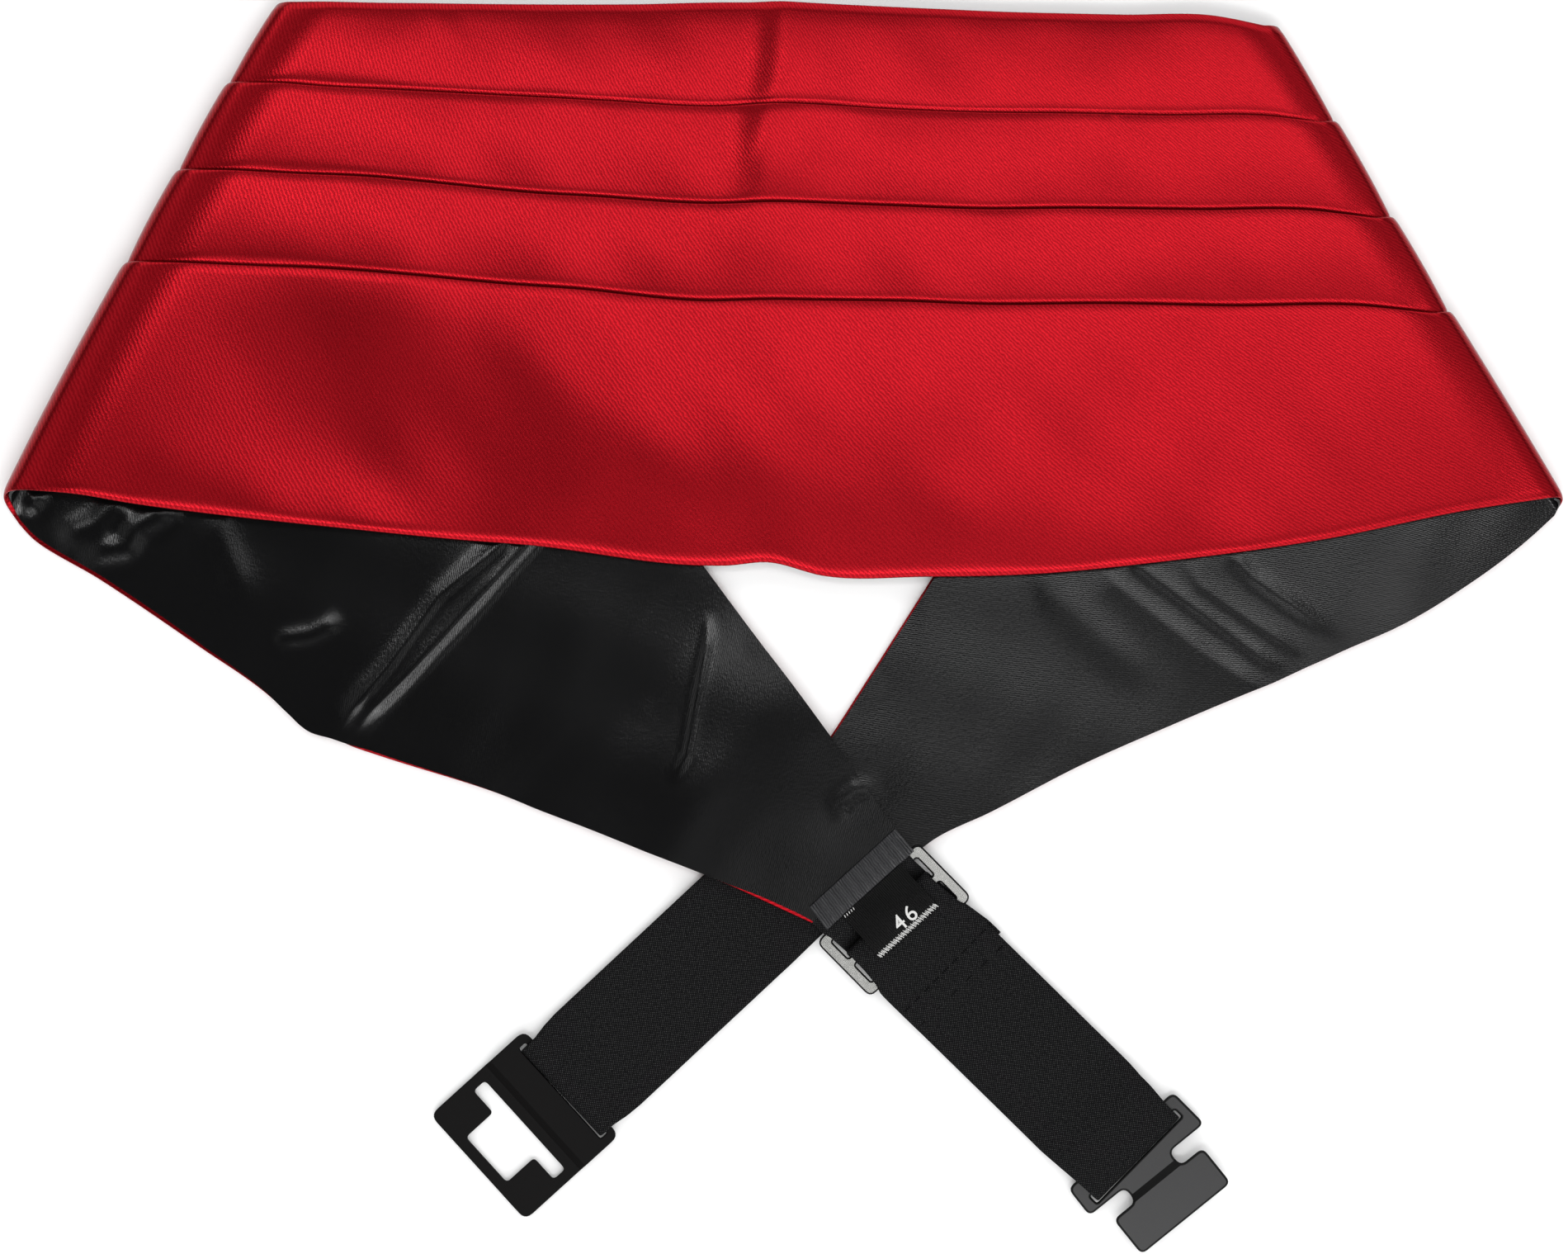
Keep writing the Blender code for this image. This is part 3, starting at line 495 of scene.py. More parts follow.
# pressed steel, dark grey lacquer with a little metal flake, baked
greyLacquer = metalMaterial("darkGreyLacqueredSteel", {
    "colour": "#1b1b1c", "metallic": 0.4, "roughness": 0.36, "specular": 0.5, "coat": 0.3,
    "grain": 0.5, "bump": 0.2})
# pressed steel, matt black lacquer, baked
blackLacquer = metalMaterial("mattBlackLacqueredSteel", {
    "colour": "#070606", "metallic": 0.0, "roughness": 0.5, "specular": 0.08, "coat": 0.0,
    "grain": 0.5, "bump": 0.2})
# painted shade: a dull near-black laid on the steep rims of the pressed pieces, standing in for the
# shade along their edges
paintedShadeRim = metalMaterial("paintedEdgeShadeSteel", {
    "colour": "#060606", "metallic": 0.0, "roughness": 0.5, "specular": 0.15, "coat": 0.0,
    "grain": 0.8, "bump": 0.15})
# spun polyester sewing thread, dyed in the yarn and waxed
thread = newMaterial("blackSewingThread", {
    "Base Color": linear("#060607"), "Roughness": 0.8, "Specular IOR Level": 0.1})[0]
# bleached cotton yarn, woven in for the number and the ribbon's edge
whiteThread = newMaterial("whiteWovenThread", {
    "Base Color": linear("#c4c4c2"), "Roughness": 0.7})[0]
print("materials made")


shell = {
    "pleatStep": 0.85, "pleatMouth": 0.1, "pleatTuck": 2.5,
    "lipRun": (0.4, 2.6),                  # how far a fold's edge rounds over, middle and sides
    "dip": 0.32, "dipWidth": 0.85,         # the band above sinks towards each fold
    "lens": 0.9, "lensAt": 30.0, "lensReach": 16.0,     # wider in a lens near its left end
    "dive": 0.35, "diveWidth": 0.25,       # and drops steeply into the crack itself
    "sideReach": 9.0,                      # the folds at the sides soften it this far away
    "pillow": 0.3,                         # each band swells a little between its folds
    "grooveDepth": 0.45, "grooveWidth": 0.9,
    "topRoll": 0.12, "lowRoll": 0.4, "rollRun": 2.6,    # both edges roll over softly
    "margin": 0.8,                         # bands start and end this far from an edge
    "bandPoints": (12, 14, 14, 23), "crowding": 1.7,    # they crowd towards the next fold
    "innerPoints": 10,
}

# Each ridge is its height, its reach to the left and to the right of its line as that
# runs, the shares of its length over which it fades in and out, and the line's points.
# Those of the front are left by the padding and by the way it was smoothed out.
frontSwells = (
    (2.2, 80, 26, 0.1, 0.3, (-200, 112), (-150, 104), (-105, 92), (-72, 76), (-52, 62),
     (-38, 52), (-10, 42), (25, 36), (70, 30), (120, 26)),
    (1.7, 16, 7, 0.01, 0.6, (1.4, 153), (1.2, 144), (0.2, 133), (-2.9, 122), (-4.2, 115),
     (-4.4, 104), (-6, 94), (-9, 84)),
    (0.4, 8, 9, 0.1, 0.1, (-118, 148), (-100, 138), (-82, 152)),
    (1.4, 26, 14, 0.05, 0.35, (-182, 91), (-150, 88.5), (-63, 82)),
    (1.0, 12, 10, 0.2, 0.3, (-165, 46), (-145, 38), (-120, 28), (-95, 20), (-75, 16)),
    (0.9, 20, 10, 0.3, 0.15, (40, 8), (100, 14), (150, 22), (185, 29)),
)
# faint ripples everywhere: wavelengths along and across in mm, slant, start, height
frontRipples = (
    (46.0, 160.0, 24.0, 0.4, 0.14), (31.0, 120.0, -18.0, 2.1, 0.10),
    (19.0, 90.0, 38.0, 4.0, 0.05), (70.0, 60.0, 60.0, 1.2, 0.16))


def frontRelief(place):
    # height * exp(-(distance to the crest / reach on that side)^2), summed, and ripples:
    # height * sin(2 pi a / long + start) * cos(2 pi b / wide), with a and b turned by
    # slant; nothing of it is left at the folds
    x, y = place[..., 0], place[..., 1]
    total = sum(lineRelief(x, y, swell) for swell in frontSwells)
    for long, wide, slant, start, height in frontRipples:
        forward = heading(slant)
        a = x * forward[0] + y * forward[1]
        b = y * forward[0] - x * forward[1]
        total += height * np.sin(2 * np.pi * a / long + start) * np.cos(2 * np.pi * b / wide)
    return total * course["onFront"][:, None]


def wallProfile():
    # Shares of each section's length and heights over it, going down the outer side over
    # its three pleats and back up the inner side. The sections lie midway between shell
    # and lining. On the wings the same points make pressed grooves instead.
    tall, proud, travel = course["tall"], course["proud"], course["travel"]
    back = cloth["seamGap"] / 2
    skin = back + cloth["shellWall"]
    middle, half = (back + skin) / 2, cloth["shellWall"] / 2
    shares, heights = [], []
    sides = np.maximum(bell(travel, course["foldL"], shell["sideReach"]),
                       bell(travel, course["foldR"], shell["sideReach"]))
    dipWidth = shell["dipWidth"] + shell["lens"] * bell(
        travel, course["foldL"] + shell["lensAt"], shell["lensReach"])
    lipRun = shell["lipRun"][0] + (shell["lipRun"][1] - shell["lipRun"][0]) * sides

    def add(share, height, wingShare=None, wingHeight=skin):
        wingShare = share if wingShare is None else wingShare
        shares.append(proud * share + (1 - proud) * wingShare)
        heights.append(proud * height + (1 - proud) * wingHeight)

    def edge(angles, start, way, roll):
        # half a round from one side of the wall to the other: (1 - cos a, sin a)
        for a in np.radians(angles):
            add(start + way * (1 - np.cos(a)) * half / tall * 0.9,
                middle - roll / 2 + (half - roll / 2) * np.sin(a),
                wingHeight=middle + half * np.sin(a))

    def band(start, end, count, startHeight, dipEnd):
        for part in 1 - (1 - (np.arange(count) + 0.5) / count)**shell["crowding"]:
            here = start + part * (end - start)
            fall = (end - here) * tall
            sink = (shell["dip"] * bell(fall, 0, dipWidth)
                    + shell["dive"] * bell(fall, 0, shell["diveWidth"]) * (1 - 0.8 * sides))
            rolls = sum(roll * np.clip(1 - far * tall / shell["rollRun"], 0, 1)**2
                        for roll, far in ((shell["topRoll"], here), (shell["lowRoll"], 1 - here)))
            add(here, skin + startHeight * (1 - part) + shell["pillow"] * 4 * part * (1 - part)
                - sink * dipEnd - rolls)

    edge((-60, -20, 20, 60), 0.0, 1, shell["topRoll"])
    start, startHeight = 0.0, 0.0
    tuck, groove = shell["pleatTuck"] / tall, shell["grooveWidth"] / tall
    margin, floor = shell["margin"] / tall, skin - shell["grooveDepth"]
    lipRadius = (shell["pleatStep"] - shell["pleatMouth"]) / 2
    lipMiddle = skin + shell["pleatMouth"] + lipRadius
    for number in range(3):
        fold = course["pleats"][:, number]
        band(start + margin, fold, shell["bandPoints"][number], startHeight, 1.0)
        add(fold + tuck * 0.5, skin - shell["dip"], fold + groove * 0.2, floor + 0.1)
        add(fold + tuck, skin, fold + groove * 0.4, floor)
        add(fold + tuck, skin + shell["pleatMouth"], fold + groove * 0.6, floor)
        for a in np.radians((-90, -50, -15, 15, 40, 65, 90)):
            run = lipRadius if a < 0 else lipRun
            add(fold + run * (1 - np.cos(a)) / tall, lipMiddle + lipRadius * np.sin(a),
                fold + groove * (0.8 + 0.3 * (a + np.pi / 2) / np.pi), skin - 0.1)
        start, startHeight = fold + lipRun / tall, shell["pleatStep"]
    band(start, 1 - margin, shell["bandPoints"][3], startHeight, 0.0)
    edge((60, 20, -20, -60), 1.0, -1, shell["lowRoll"])
    outer = len(shares)
    for part in np.linspace(1, 0, shell["innerPoints"] + 2)[1:-1]:
        add(np.full(sections, part), back, wingHeight=back)
    return np.array(shares).T, np.array(heights).T, outer


def makeShell():
    # the wall's profile on every section: point = standOff(share, height + relief)
    share, height, outer = wallProfile()
    points = standOff(share, height + frontRelief(standOff(share, height * 0)))
    size = share.shape[1]
    faces = np.vstack((tubeFaces(sections, size),
                       closeWall(sections, outer, size - outer, False)))
    return makePiece("satin_shell", points, faces, redSatin, 75.0, clothUv(share))


satinShell = makeShell()
print("satin shell:", len(satinShell.data.polygons), "faces")


lining = {
    "inset": 0.8, "across": 96, "backPoints": 16,
    "covering": -0.12,                     # where the lining hides the shell's edge
    # plan x and how much of the shell's lower edge shows on the left wing
    "leftEdge": ((-184, 1.1), (-150, 1.0), (-129, 0.5), (-120, -0.1), (-108, -0.1),
                 (-103, 0.7), (-85, 0.4), (-60, 0.0), (-20, 0.0), (-12, 0.3), (-7, 0.9),
                 (3, 1.0), (8, 0.4)),
    "rightEdge": 0.45,
    "edgeBlend": 4,                        # sections on either side that even out the insets
    "ripple": 0.07,
}

# creases of the lining, in the columns of the front's swells: pressed ones with straight
# flanks, and soft ones
evenCreases = (
    (0.55, 1.8, 4, 0.15, 0.15, (-61, 34), (-69.4, 19.6), (-84, 7.4), (-96.4, -9.8),
     (-105.4, -20.4), (-108.6, -26.8)),
    (0.9, 2.6, 7.5, 0.1, 0.15, (-52, 34), (-62.2, 20.6), (-80, 1), (-92.2, -12.2),
     (-100.4, -20.4), (-105.4, -27.2)),
    (0.5, 1.7, 1.5, 0.2, 0.2, (-18.4, 4), (-18.4, -2), (-21, -16), (-23.6, -30.8), (-28, -38.6)),
    (0.4, 4.2, 6.5, 0.15, 0.2, (76, 17), (80, 10.6), (101, -5.6), (112, -13), (119, -16)),
    (0.38, 3.6, 2.6, 0.15, 0.2, (81, 21.5), (85.4, 15.2), (107.6, -1), (116.2, -7.6),
     (123.2, -11)),
    (0.3, 3.6, 2.4, 0.3, 0.25, (94, 20), (101, 10), (114, 1), (128, -8)),
    (0.38, 3.6, 2.6, 0.15, 0.45, (106, 20), (113.8, 12), (126, 3.6), (137, -3.6)),
)
softCreases = (
    (0.3, 2.6, 2.6, 0.4, 0.5, (24, -38), (17, -39.6), (12.8, -43), (12, -49.2)),
    (0.7, 3, 3, 0.2, 0.3, (-181.6, 34), (-184.8, 27.2)),
    (0.62, 3.4, 3.4, 0.2, 0.25, (-160, 33), (-162.4, 29.8), (-167.2, 25), (-177.4, 20.6)),
    (0.7, 3.4, 3.4, 0.2, 0.25, (-148, 32), (-150.6, 28.2), (-157.6, 24.4), (-160.2, 19.6),
     (-173, 17.4)),
    (0.34, 2.3, 2.3, 0.25, 0.3, (-106.6, 2.4), (-115.2, -1.8), (-121.6, -2.8), (-121, -7.8)),
    (0.3, 15, 15, 0.05, 0.2, (28, 16), (80, 19), (140, 27)),
    (0.3, 4.6, 4.6, 0.2, 0.4, (60, 20), (66, 8), (80, -6), (92, -16)),
    (0.24, 4, 4, 0.2, 0.4, (-140, 28), (-134, 14), (-130, 2)),
)


def makeLining():
    # Two sides of one thin wall inside the shell. On the wings the wall lifts off the
    # shell into the creases above: gap + sum of ridges, and never less than the gap.
    tall = course["tall"][:, None]
    backPoints = lining["backPoints"]
    part = np.hstack((np.linspace(1, 0, backPoints), np.linspace(0, 1, lining["across"])))
    before, after = course["leftCount"], course["rightStart"]
    insets = np.full((2, sections), lining["inset"])     # at the top edge and at the bottom
    insets[0, :before] = lining["covering"]
    insets[1, :before] = np.interp(course["low"][:before, 0], *zip(*lining["leftEdge"]))
    insets[0, after:] = lining["rightEdge"]
    insets[1, after:] = lining["covering"]
    reach = lining["edgeBlend"]
    blend = np.ones(2 * reach + 1) / (2 * reach + 1)
    topInset, lowInset = [np.convolve(np.pad(row, reach, "edge"), blend, "valid")[:, None]
                          for row in insets]
    share = topInset / tall * (1 - part) + (1 - lowInset / tall) * part
    place = standOff(share, share * 0)
    x, y = place[..., 0], place[..., 1]
    puff = (sum(lineRelief(x, y, crease, True) for crease in evenCreases)
            + sum(lineRelief(x, y, crease) for crease in softCreases))
    # uneven ripples, 20 to 110 mm long: 1 + sin * cos + half of a bent sin * cos
    puff += lining["ripple"] * (1 + np.sin(x / 6.3 + y / 9.0) * np.cos(y / 8.3 - x / 17.0)
                                + 0.5 * np.sin(x / 3.3 - y / 5.7 + 1.3 * np.sin(y / 11.0))
                                * np.cos(x / 13.0 + 1.7))
    puff[before - 2:after + 2] = 0.0
    height = -cloth["seamGap"] / 2 - np.maximum(puff, 0.0)
    height[:, backPoints:] -= cloth["liningWall"]
    points = standOff(share, height + frontRelief(place))
    size = share.shape[1]
    faces = np.vstack((tubeFaces(sections, size, True),
                       closeWall(sections, backPoints, size - backPoints, True)))
    return makePiece("black_lining", points, faces, blackSatin, 75.0, clothUv(share))


blackLining = makeLining()
print("lining:", len(blackLining.data.polygons), "faces")

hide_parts("pleated_front", "pleated_wing_left", "pleated_wing_right")
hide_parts("lining_front", "lining_wing_left", "lining_wing_right")


straps = {"wall": 1.0, "step": 0.5, "acrossPoints": 16, "selvedge": 0.05,
          "rounding": 1}                   # steps to either side that round a route's corners
longPlace = {"x": 26.5, "y": -70.9, "angle": -44.4}
shortPlace = {"x": 12.6, "y": -50.7, "angle": -137.0}

# (along, height of the band's middle, width, shift to its left), from the left wing's
# end over the slider's first bar, under its middle bar, below the top run to the hook,
# round the hook's bar, back over the slider, round its middle bar and to the sewn end
longRoute = [
    (-13.75, 4.4, 29, 0), (-10.6, 4.4, 29, 0), (-9.8, 4.6, 28.7, 0),
    (-8.2, 4.6, 27.6, 0), (-7, 4.55, 27.5, 0), (-6.2, 4.2, 27.5, 0),
    (-3.4, 1.25, 27.5, 0), (-2.4, 0.62, 27.5, 0), (-1, 0.5, 27.5, 0),
    (9.3, 0.5, 28.5, 0), (14.3, 0.5, 30.4, 0), (40, 0.5, 30.4, 0),
    (73, 0.5, 29.6, 0), (79, 0.5, 28.4, 0), (81, 0.5, 28.4, 0),
    (82.4, 0.91, 28.4, 0), (82.9, 1.9, 28.4, 0), (82.4, 2.89, 28.4, 0),
    (81, 3.3, 28.4, 0), (79, 3.3, 28.4, 0), (70.5, 3.3, 29.6, 0),
    (65, 2.4, 30.4, 0), (60, 1.8, 30.4, 0), (46, 1.8, 30.4, 0),
    (24.7, 1.9, 30.4, 0), (21.9, 2.9, 30.4, 0), (18.7, 3.1, 30.4, 0),
    (13.3, 3.3, 30.4, 0), (10.1, 4.4, 30.2, 0), (7.9, 4.6, 28.6, 0),
    (4, 4.6, 27.7, 0), (-0.8, 4.6, 27.3, 0), (-2.2, 4, 27.3, 0),
    (-2.3, 2.4, 28.1, 0), (-0.8, 1.8, 28.1, 0), (2, 1.8, 28.1, 0.3),
    (9.3, 1.8, 28.7, 0.6), (16.7, 1.8, 30.4, 0.8), (20.7, 1.8, 30.4, 0.8)]
# from the right wing's end to the buckle plate, round its bar and back underneath
shortRoute = [
    (-5.5, 1.8, 26.4, 0), (3, 1.8, 29.4, 0), (28.5, 1.8, 30.4, 0),
    (59.4, 1.8, 30.4, 0), (79.4, 1.8, 30.4, 0), (83.4, 2.5, 29.8, 0),
    (87.4, 3.3, 28.4, 0), (89.4, 3.3, 28.4, 0), (90.8, 2.89, 28.4, 0),
    (91.3, 1.9, 28.4, 0), (90.8, 0.91, 28.4, 0), (89.4, 0.5, 28.4, 0),
    (86.4, 0.5, 28.4, 0), (79.4, 0.5, 30, 0), (59.4, 0.5, 30, 0),
    (28.5, 0.5, 30, 0)]
# soft pits where stitches pull a band down: distance along its route, half the row's
# width, how many, slant of the row, depth
longPits = ((176.5, 13.2, 9, 0.0, 0.16), (171.0, 13.2, 7, 0.05, 0.08))
shortPits = ((14.0, 12.8, 6, 0.1, 0.1),)


def walkRoute(route):
    # even steps along the route, with its corners rounded by a sliding average
    rows = np.asarray(route, float)
    travel = distanceAlong(rows[:, :2])
    wanted = np.linspace(0.0, travel[-1], int(travel[-1] / straps["step"]) + 1)
    even = np.stack([np.interp(wanted, travel, column) for column in rows.T], axis=1)
    reach = straps["rounding"]
    weights = np.ones(2 * reach + 1) / (2 * reach + 1)
    smooth = np.stack([np.convolve(np.pad(column, reach, "edge"), weights, "valid")
                       for column in even.T], axis=1)
    smooth[:2], smooth[-2:] = even[:2], even[-2:]
    return smooth, wanted


def makeStrap(name, place, route, pits):
    # A flat band whose section is a bar with round ends: point = route + lift * (square
    # to the route) + reach * across, less the pits
    path, travel = walkRoute(route)
    run = np.gradient(path[:, :2], axis=0)
    run /= np.linalg.norm(run, axis=1, keepdims=True)
    half = straps["wall"] / 2
    flat, across = np.zeros(straps["acrossPoints"]), np.linspace(-1, 1, straps["acrossPoints"])
    bend = np.radians((60, 20, -20, -60))
    side = np.concatenate((across, np.ones(4), across[::-1], -np.ones(4)))
    out = np.concatenate((flat, np.cos(bend) * half, flat, -np.cos(bend) * half))
    lift = np.concatenate((flat + half, np.sin(bend) * half, flat - half, -np.sin(bend) * half))
    reach = (path[:, 2:3] / 2 - half) * side + out + path[:, 3:4]
    thick = np.tile(lift + np.sign(lift) * straps["selvedge"] * bell(np.abs(side), 0.94, 0.05),
                    (len(path), 1))
    for at, halfRow, count, slant, depth in pits:
        for spot in np.linspace(-halfRow, halfRow, count):
            thick -= ((lift > 0.4) * depth * bell(travel, at + slant * spot, 0.9)[:, None]
                      * bell(reach, spot, 0.8))
    along = path[:, 0:1] - run[:, 1:2] * thick
    height = path[:, 1:2] + run[:, 0:1] * thick
    points = np.concatenate((onPlan(place, along, reach), height[..., None]), axis=-1)
    uv = np.stack((np.broadcast_to(travel[:, None], reach.shape), reach), axis=-1) * 0.001
    piece = makePiece(name, points, tubeFaces(len(path), len(side)), blackElastic, 60.0, uv, True)
    return piece, travel[-1]


longStrap, longLength = makeStrap("strap_long_elastic", longPlace, longRoute, longPits)
shortStrap, shortLength = makeStrap("strap_short_elastic", shortPlace, shortRoute, shortPits)
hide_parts("strap_long")
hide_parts("strap_short")
print("straps cut:", round(longLength, 1), "and", round(shortLength, 1), "mm")


def makeStitches(name, middles, angle, length, radius, material):
    # Short threads: a capsule of six rings of six points, carried to every middle and
    # lying at an angle from +X, its ends drawn down into the cloth
    corners = 6
    turns = np.linspace(0, 2 * np.pi, corners, endpoint=False)
    ends = np.array([-0.5, -0.42, -0.2, 0.2, 0.42, 0.5])[:, None, None]
    girth = np.array([0.25, 0.8, 1.0, 1.0, 0.8, 0.25])[:, None, None]
    drop = np.array([-0.9, -0.3, 0.25, 0.25, -0.3, -0.9])[:, None, None]
    x, y = heading(angle)
    forward, side, up = np.array([[x, y, 0.0], [-y, x, 0.0], [0.0, 0.0, 1.0]])
    ring = np.cos(turns)[:, None] * side + np.sin(turns)[:, None] * up
    one = ends * length * forward + girth * radius * ring + drop * radius * up
    points = middles[:, None, None, :] + one
    caps = np.array([[0, 3, 2, 1], [0, 5, 4, 3], [30, 31, 32, 33], [30, 33, 34, 35]])
    faces = [(np.arange(len(middles))[:, None, None] * corners * len(ends) + part).reshape(-1, 4)
             for part in (tubeFaces(len(ends), corners), caps)]
    return makePiece(name, points, np.vstack(faces), material, 60.0)


def stitchRow(place, along, half, count, height, slant=0.0):
    spots = np.linspace(-half, half, count)
    return np.column_stack((onPlan(place, along + slant * spots, spots), np.full(count, height)))


longStitches = makeStitches("strap_long_stitches", np.vstack((
    stitchRow(longPlace, 17.4, 13.0, 9, 3.68),
    stitchRow(longPlace, 22.9, 13.0, 6, 3.12, 0.03))), 45.6, 2.2, 0.16, thread)
shortStitches = makeStitches("strap_short_stitches", stitchRow(shortPlace, 8.6, 12.4, 6, 2.36),
                             -47.0, 2.4, 0.16, thread)


def roundCorners(corners, radius, steps=5):
    # each corner becomes a short curve: (1-t)^2 first + 2t(1-t) corner + t^2 last
    c = np.asarray(corners, float)
    back, ahead = np.roll(c, 1, 0) - c, np.roll(c, -1, 0) - c
    backLength = np.linalg.norm(back, axis=1, keepdims=True)
    aheadLength = np.linalg.norm(ahead, axis=1, keepdims=True)
    cut = np.minimum(radius, 0.45 * np.minimum(backLength, aheadLength))
    first, last = c + back / backLength * cut, c + ahead / aheadLength * cut
    t = np.linspace(0, 1, steps + 1)[None, :, None]
    return ((1 - t) ** 2 * first[:, None] + 2 * t * (1 - t) * c[:, None]
            + t**2 * last[:, None]).reshape(-1, 2)


def mirrored(side):
    # an outline that is alike on both sides of its middle line
    return [(along, -across) for along, across in side] + side[::-1]


def boxCorners(lowAlong, highAlong, halfAcross):
    return mirrored([(lowAlong, halfAcross), (highAlong, halfAcross)])


def meshFromCurve(name, curve, mergeWithin, bendLines=()):
    # the curve as a mesh and its points, merged and cut across at its bend lines
    flat = bpy.data.objects.new(name, curve)
    bpy.context.collection.objects.link(flat)
    bpy.context.view_layer.update()
    mesh = bpy.data.meshes.new_from_object(flat.evaluated_get(
        bpy.context.evaluated_depsgraph_get()))
    bpy.data.objects.remove(flat)
    work = bmesh.new()
    work.from_mesh(mesh)
    bmesh.ops.remove_doubles(work, verts=work.verts, dist=mergeWithin)
    for along in bendLines:
        bmesh.ops.bisect_plane(work, geom=work.verts[:] + work.edges[:] + work.faces[:],
                               plane_co=(along, 0, 0), plane_no=(1, 0, 0))
    bmesh.ops.recalc_face_normals(work, faces=work.faces)
    work.to_mesh(mesh)
    work.free()
    points = np.empty(len(mesh.vertices) * 3)
    mesh.vertices.foreach_get("co", points)
    return mesh, points.reshape(-1, 3)


def placeMesh(mesh, plan, height, *materials):
    points = (np.column_stack((plan, height)) + planShift) * 0.001
    mesh.vertices.foreach_set("co", points.ravel())
    mesh.materials.clear()
    for material in materials:
        mesh.materials.append(material)
    mesh.update()


def makePlate(name, node, look, loops, material):
    # A filled flat curve with rounded edges, cut across at its bend lines; then
    # height = level + wall / 2 + rise(along), and the plan place is applied. Faces
    # steeper than the given upward share take a painted shade, a dull near-black.
    wall, edge, bends = look["wall"], look["edge"], look["bends"]
    curve = bpy.data.curves.new(name, "CURVE")
    curve.dimensions, curve.fill_mode = "2D", "BOTH"
    curve.extrude, curve.bevel_depth = wall / 2 - edge, edge
    curve.bevel_resolution, curve.offset = 2, -edge
    for number, loop in enumerate(loops):
        area = np.sum(loop[:, 0] * np.roll(loop[:, 1], -1) - np.roll(loop[:, 0], -1) * loop[:, 1])
        if (area > 0) != (number == 0):     # the outline runs one way, its holes the other
            loop = loop[::-1]
        spline = curve.splines.new("POLY")
        spline.points.add(len(loop) - 1)
        spline.points.foreach_set("co", np.column_stack((
            loop, np.zeros(len(loop)), np.ones(len(loop)))).ravel())
        spline.use_cyclic_u = True
    mesh, points = meshFromCurve(name, curve, 0.001, [along for along, _ in bends])
    rise = np.interp(points[:, 0], *zip(*bends)) if bends else 0.0
    placeMesh(mesh, onPlan(look, points[:, 0], points[:, 1]),
              points[:, 2] + look["level"] + wall / 2 + rise, material, paintedShadeRim)
    normals = np.empty(len(mesh.polygons) * 3)
    mesh.polygons.foreach_get("normal", normals)
    # painted shade: faces steeper than the share get the near-black rim material
    rim = np.abs(normals[2::3]) < look["shadeRimShare"]
    mesh.polygons.foreach_set("material_index", rim.astype(np.int32))
    smoothUpTo(mesh, 12)
    piece = layPiece(name, mesh)
    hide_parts(node)
    return piece


slider = {"x": 26.5, "y": -70.9, "angle": -45.4, "level": 2.6, "wall": 1.2, "edge": 0.42,
          "shadeRimShare": 0.99, "bends": (), "length": 18.7, "width": 34.6, "corner": 2.0,
          "rail": 2.8, "bar": 2.5, "middleBar": 2.2, "holeCorner": 0.6}
sliderEnd, sliderSide = slider["length"] / 2, slider["width"] / 2
holeFrom, holeTo = slider["middleBar"] / 2, sliderEnd - slider["bar"]
sliderPiece = makePlate("slider_frame", "slider", slider, [
    roundCorners(boxCorners(-sliderEnd, sliderEnd, sliderSide), slider["corner"]),
    *(roundCorners(boxCorners(low, high, sliderSide - slider["rail"]), slider["holeCorner"], 3)
      for low, high in ((-holeTo, -holeFrom), (holeFrom, holeTo)))], nickel)

hook = {"x": 87.8, "y": -131.5, "angle": -51.1, "level": 1.3, "wall": 1.2, "edge": 0.55,
        "shadeRimShare": 0.98, "bends": ((2.5, 0.0), (4.2, 1.5)), "shoulder": 0.2,
        "shoulderHalf": 17.9, "neck": 6.95, "neckLength": 4.3, "barHalf": 13.9,
        "barFar": 15.2, "corner": 1.8, "slotNear": -1.9, "slotFar": 0.5, "slotHalf": 14.7,
        "slotCorner": 0.5}
# the hook's slot is square to the strap and lies where the strap turns back
strapTurn = onPlan(longPlace, max(longRoute)[0], 0.0) - [hook["x"], hook["y"]]
hookAxes = np.array([heading(hook["angle"]), heading(hook["angle"] + 90.0)])
slotAxes = np.array([heading(hook["angle"] - longPlace["angle"]),
                     heading(hook["angle"] - longPlace["angle"] + 90.0)])
hookSlot = hookAxes @ strapTurn + np.array(boxCorners(
    hook["slotNear"], hook["slotFar"], hook["slotHalf"])) @ slotAxes.T
# shoulder, neck and bar; the rear edge runs at a slant
hookFront = mirrored([(hook["shoulder"], hook["shoulderHalf"]), (hook["shoulder"], hook["neck"]),
                      (hook["neckLength"], hook["neck"]), (hook["neckLength"], hook["barHalf"]),
                      (hook["barFar"], hook["barHalf"])])
hookPiece = makePlate("hook_plate", "hook", hook, [
    roundCorners([(-8.2, -17.8), *hookFront, (-10.5, 16.8)], hook["corner"]),
    roundCorners(hookSlot, hook["slotCorner"], 3)], greyLacquer)

plate = {"x": -63.2, "y": -120.9, "angle": -137.8, "level": 1.3, "wall": 1.2, "edge": 0.3,
         "shadeRimShare": 0.3, "bends": ((-4.4, 0.0), (-2.7, -0.8)), "halfLength": 15.4,
         "halfWidth": 17.2, "corner": 2.4, "slotNear": -13.65, "slotFar": -11.5, "slotHalf": 14.75,
         "slotCorner": 0.5, "crossNear": -0.1, "crossFar": 3.7, "crossHalf": 14.5,
         "mouthFar": 12.6, "mouthHalf": 7.4, "mouthCorner": 1.1}
hookMouth = mirrored([
    (plate["crossNear"], plate["crossHalf"]), (plate["crossFar"], plate["crossHalf"]),
    (plate["crossFar"], plate["mouthHalf"]), (plate["mouthFar"], plate["mouthHalf"])])
platePiece = makePlate("buckle_plate_pressing", "buckle_plate", plate, [
    roundCorners(boxCorners(-plate["halfLength"], plate["halfLength"], plate["halfWidth"]),
                 plate["corner"]),
    roundCorners(boxCorners(plate["slotNear"], plate["slotFar"], plate["slotHalf"]),
                 plate["slotCorner"], 3),
    roundCorners(hookMouth, plate["mouthCorner"])], blackLacquer)
print("slider, hook and buckle plate pressed")


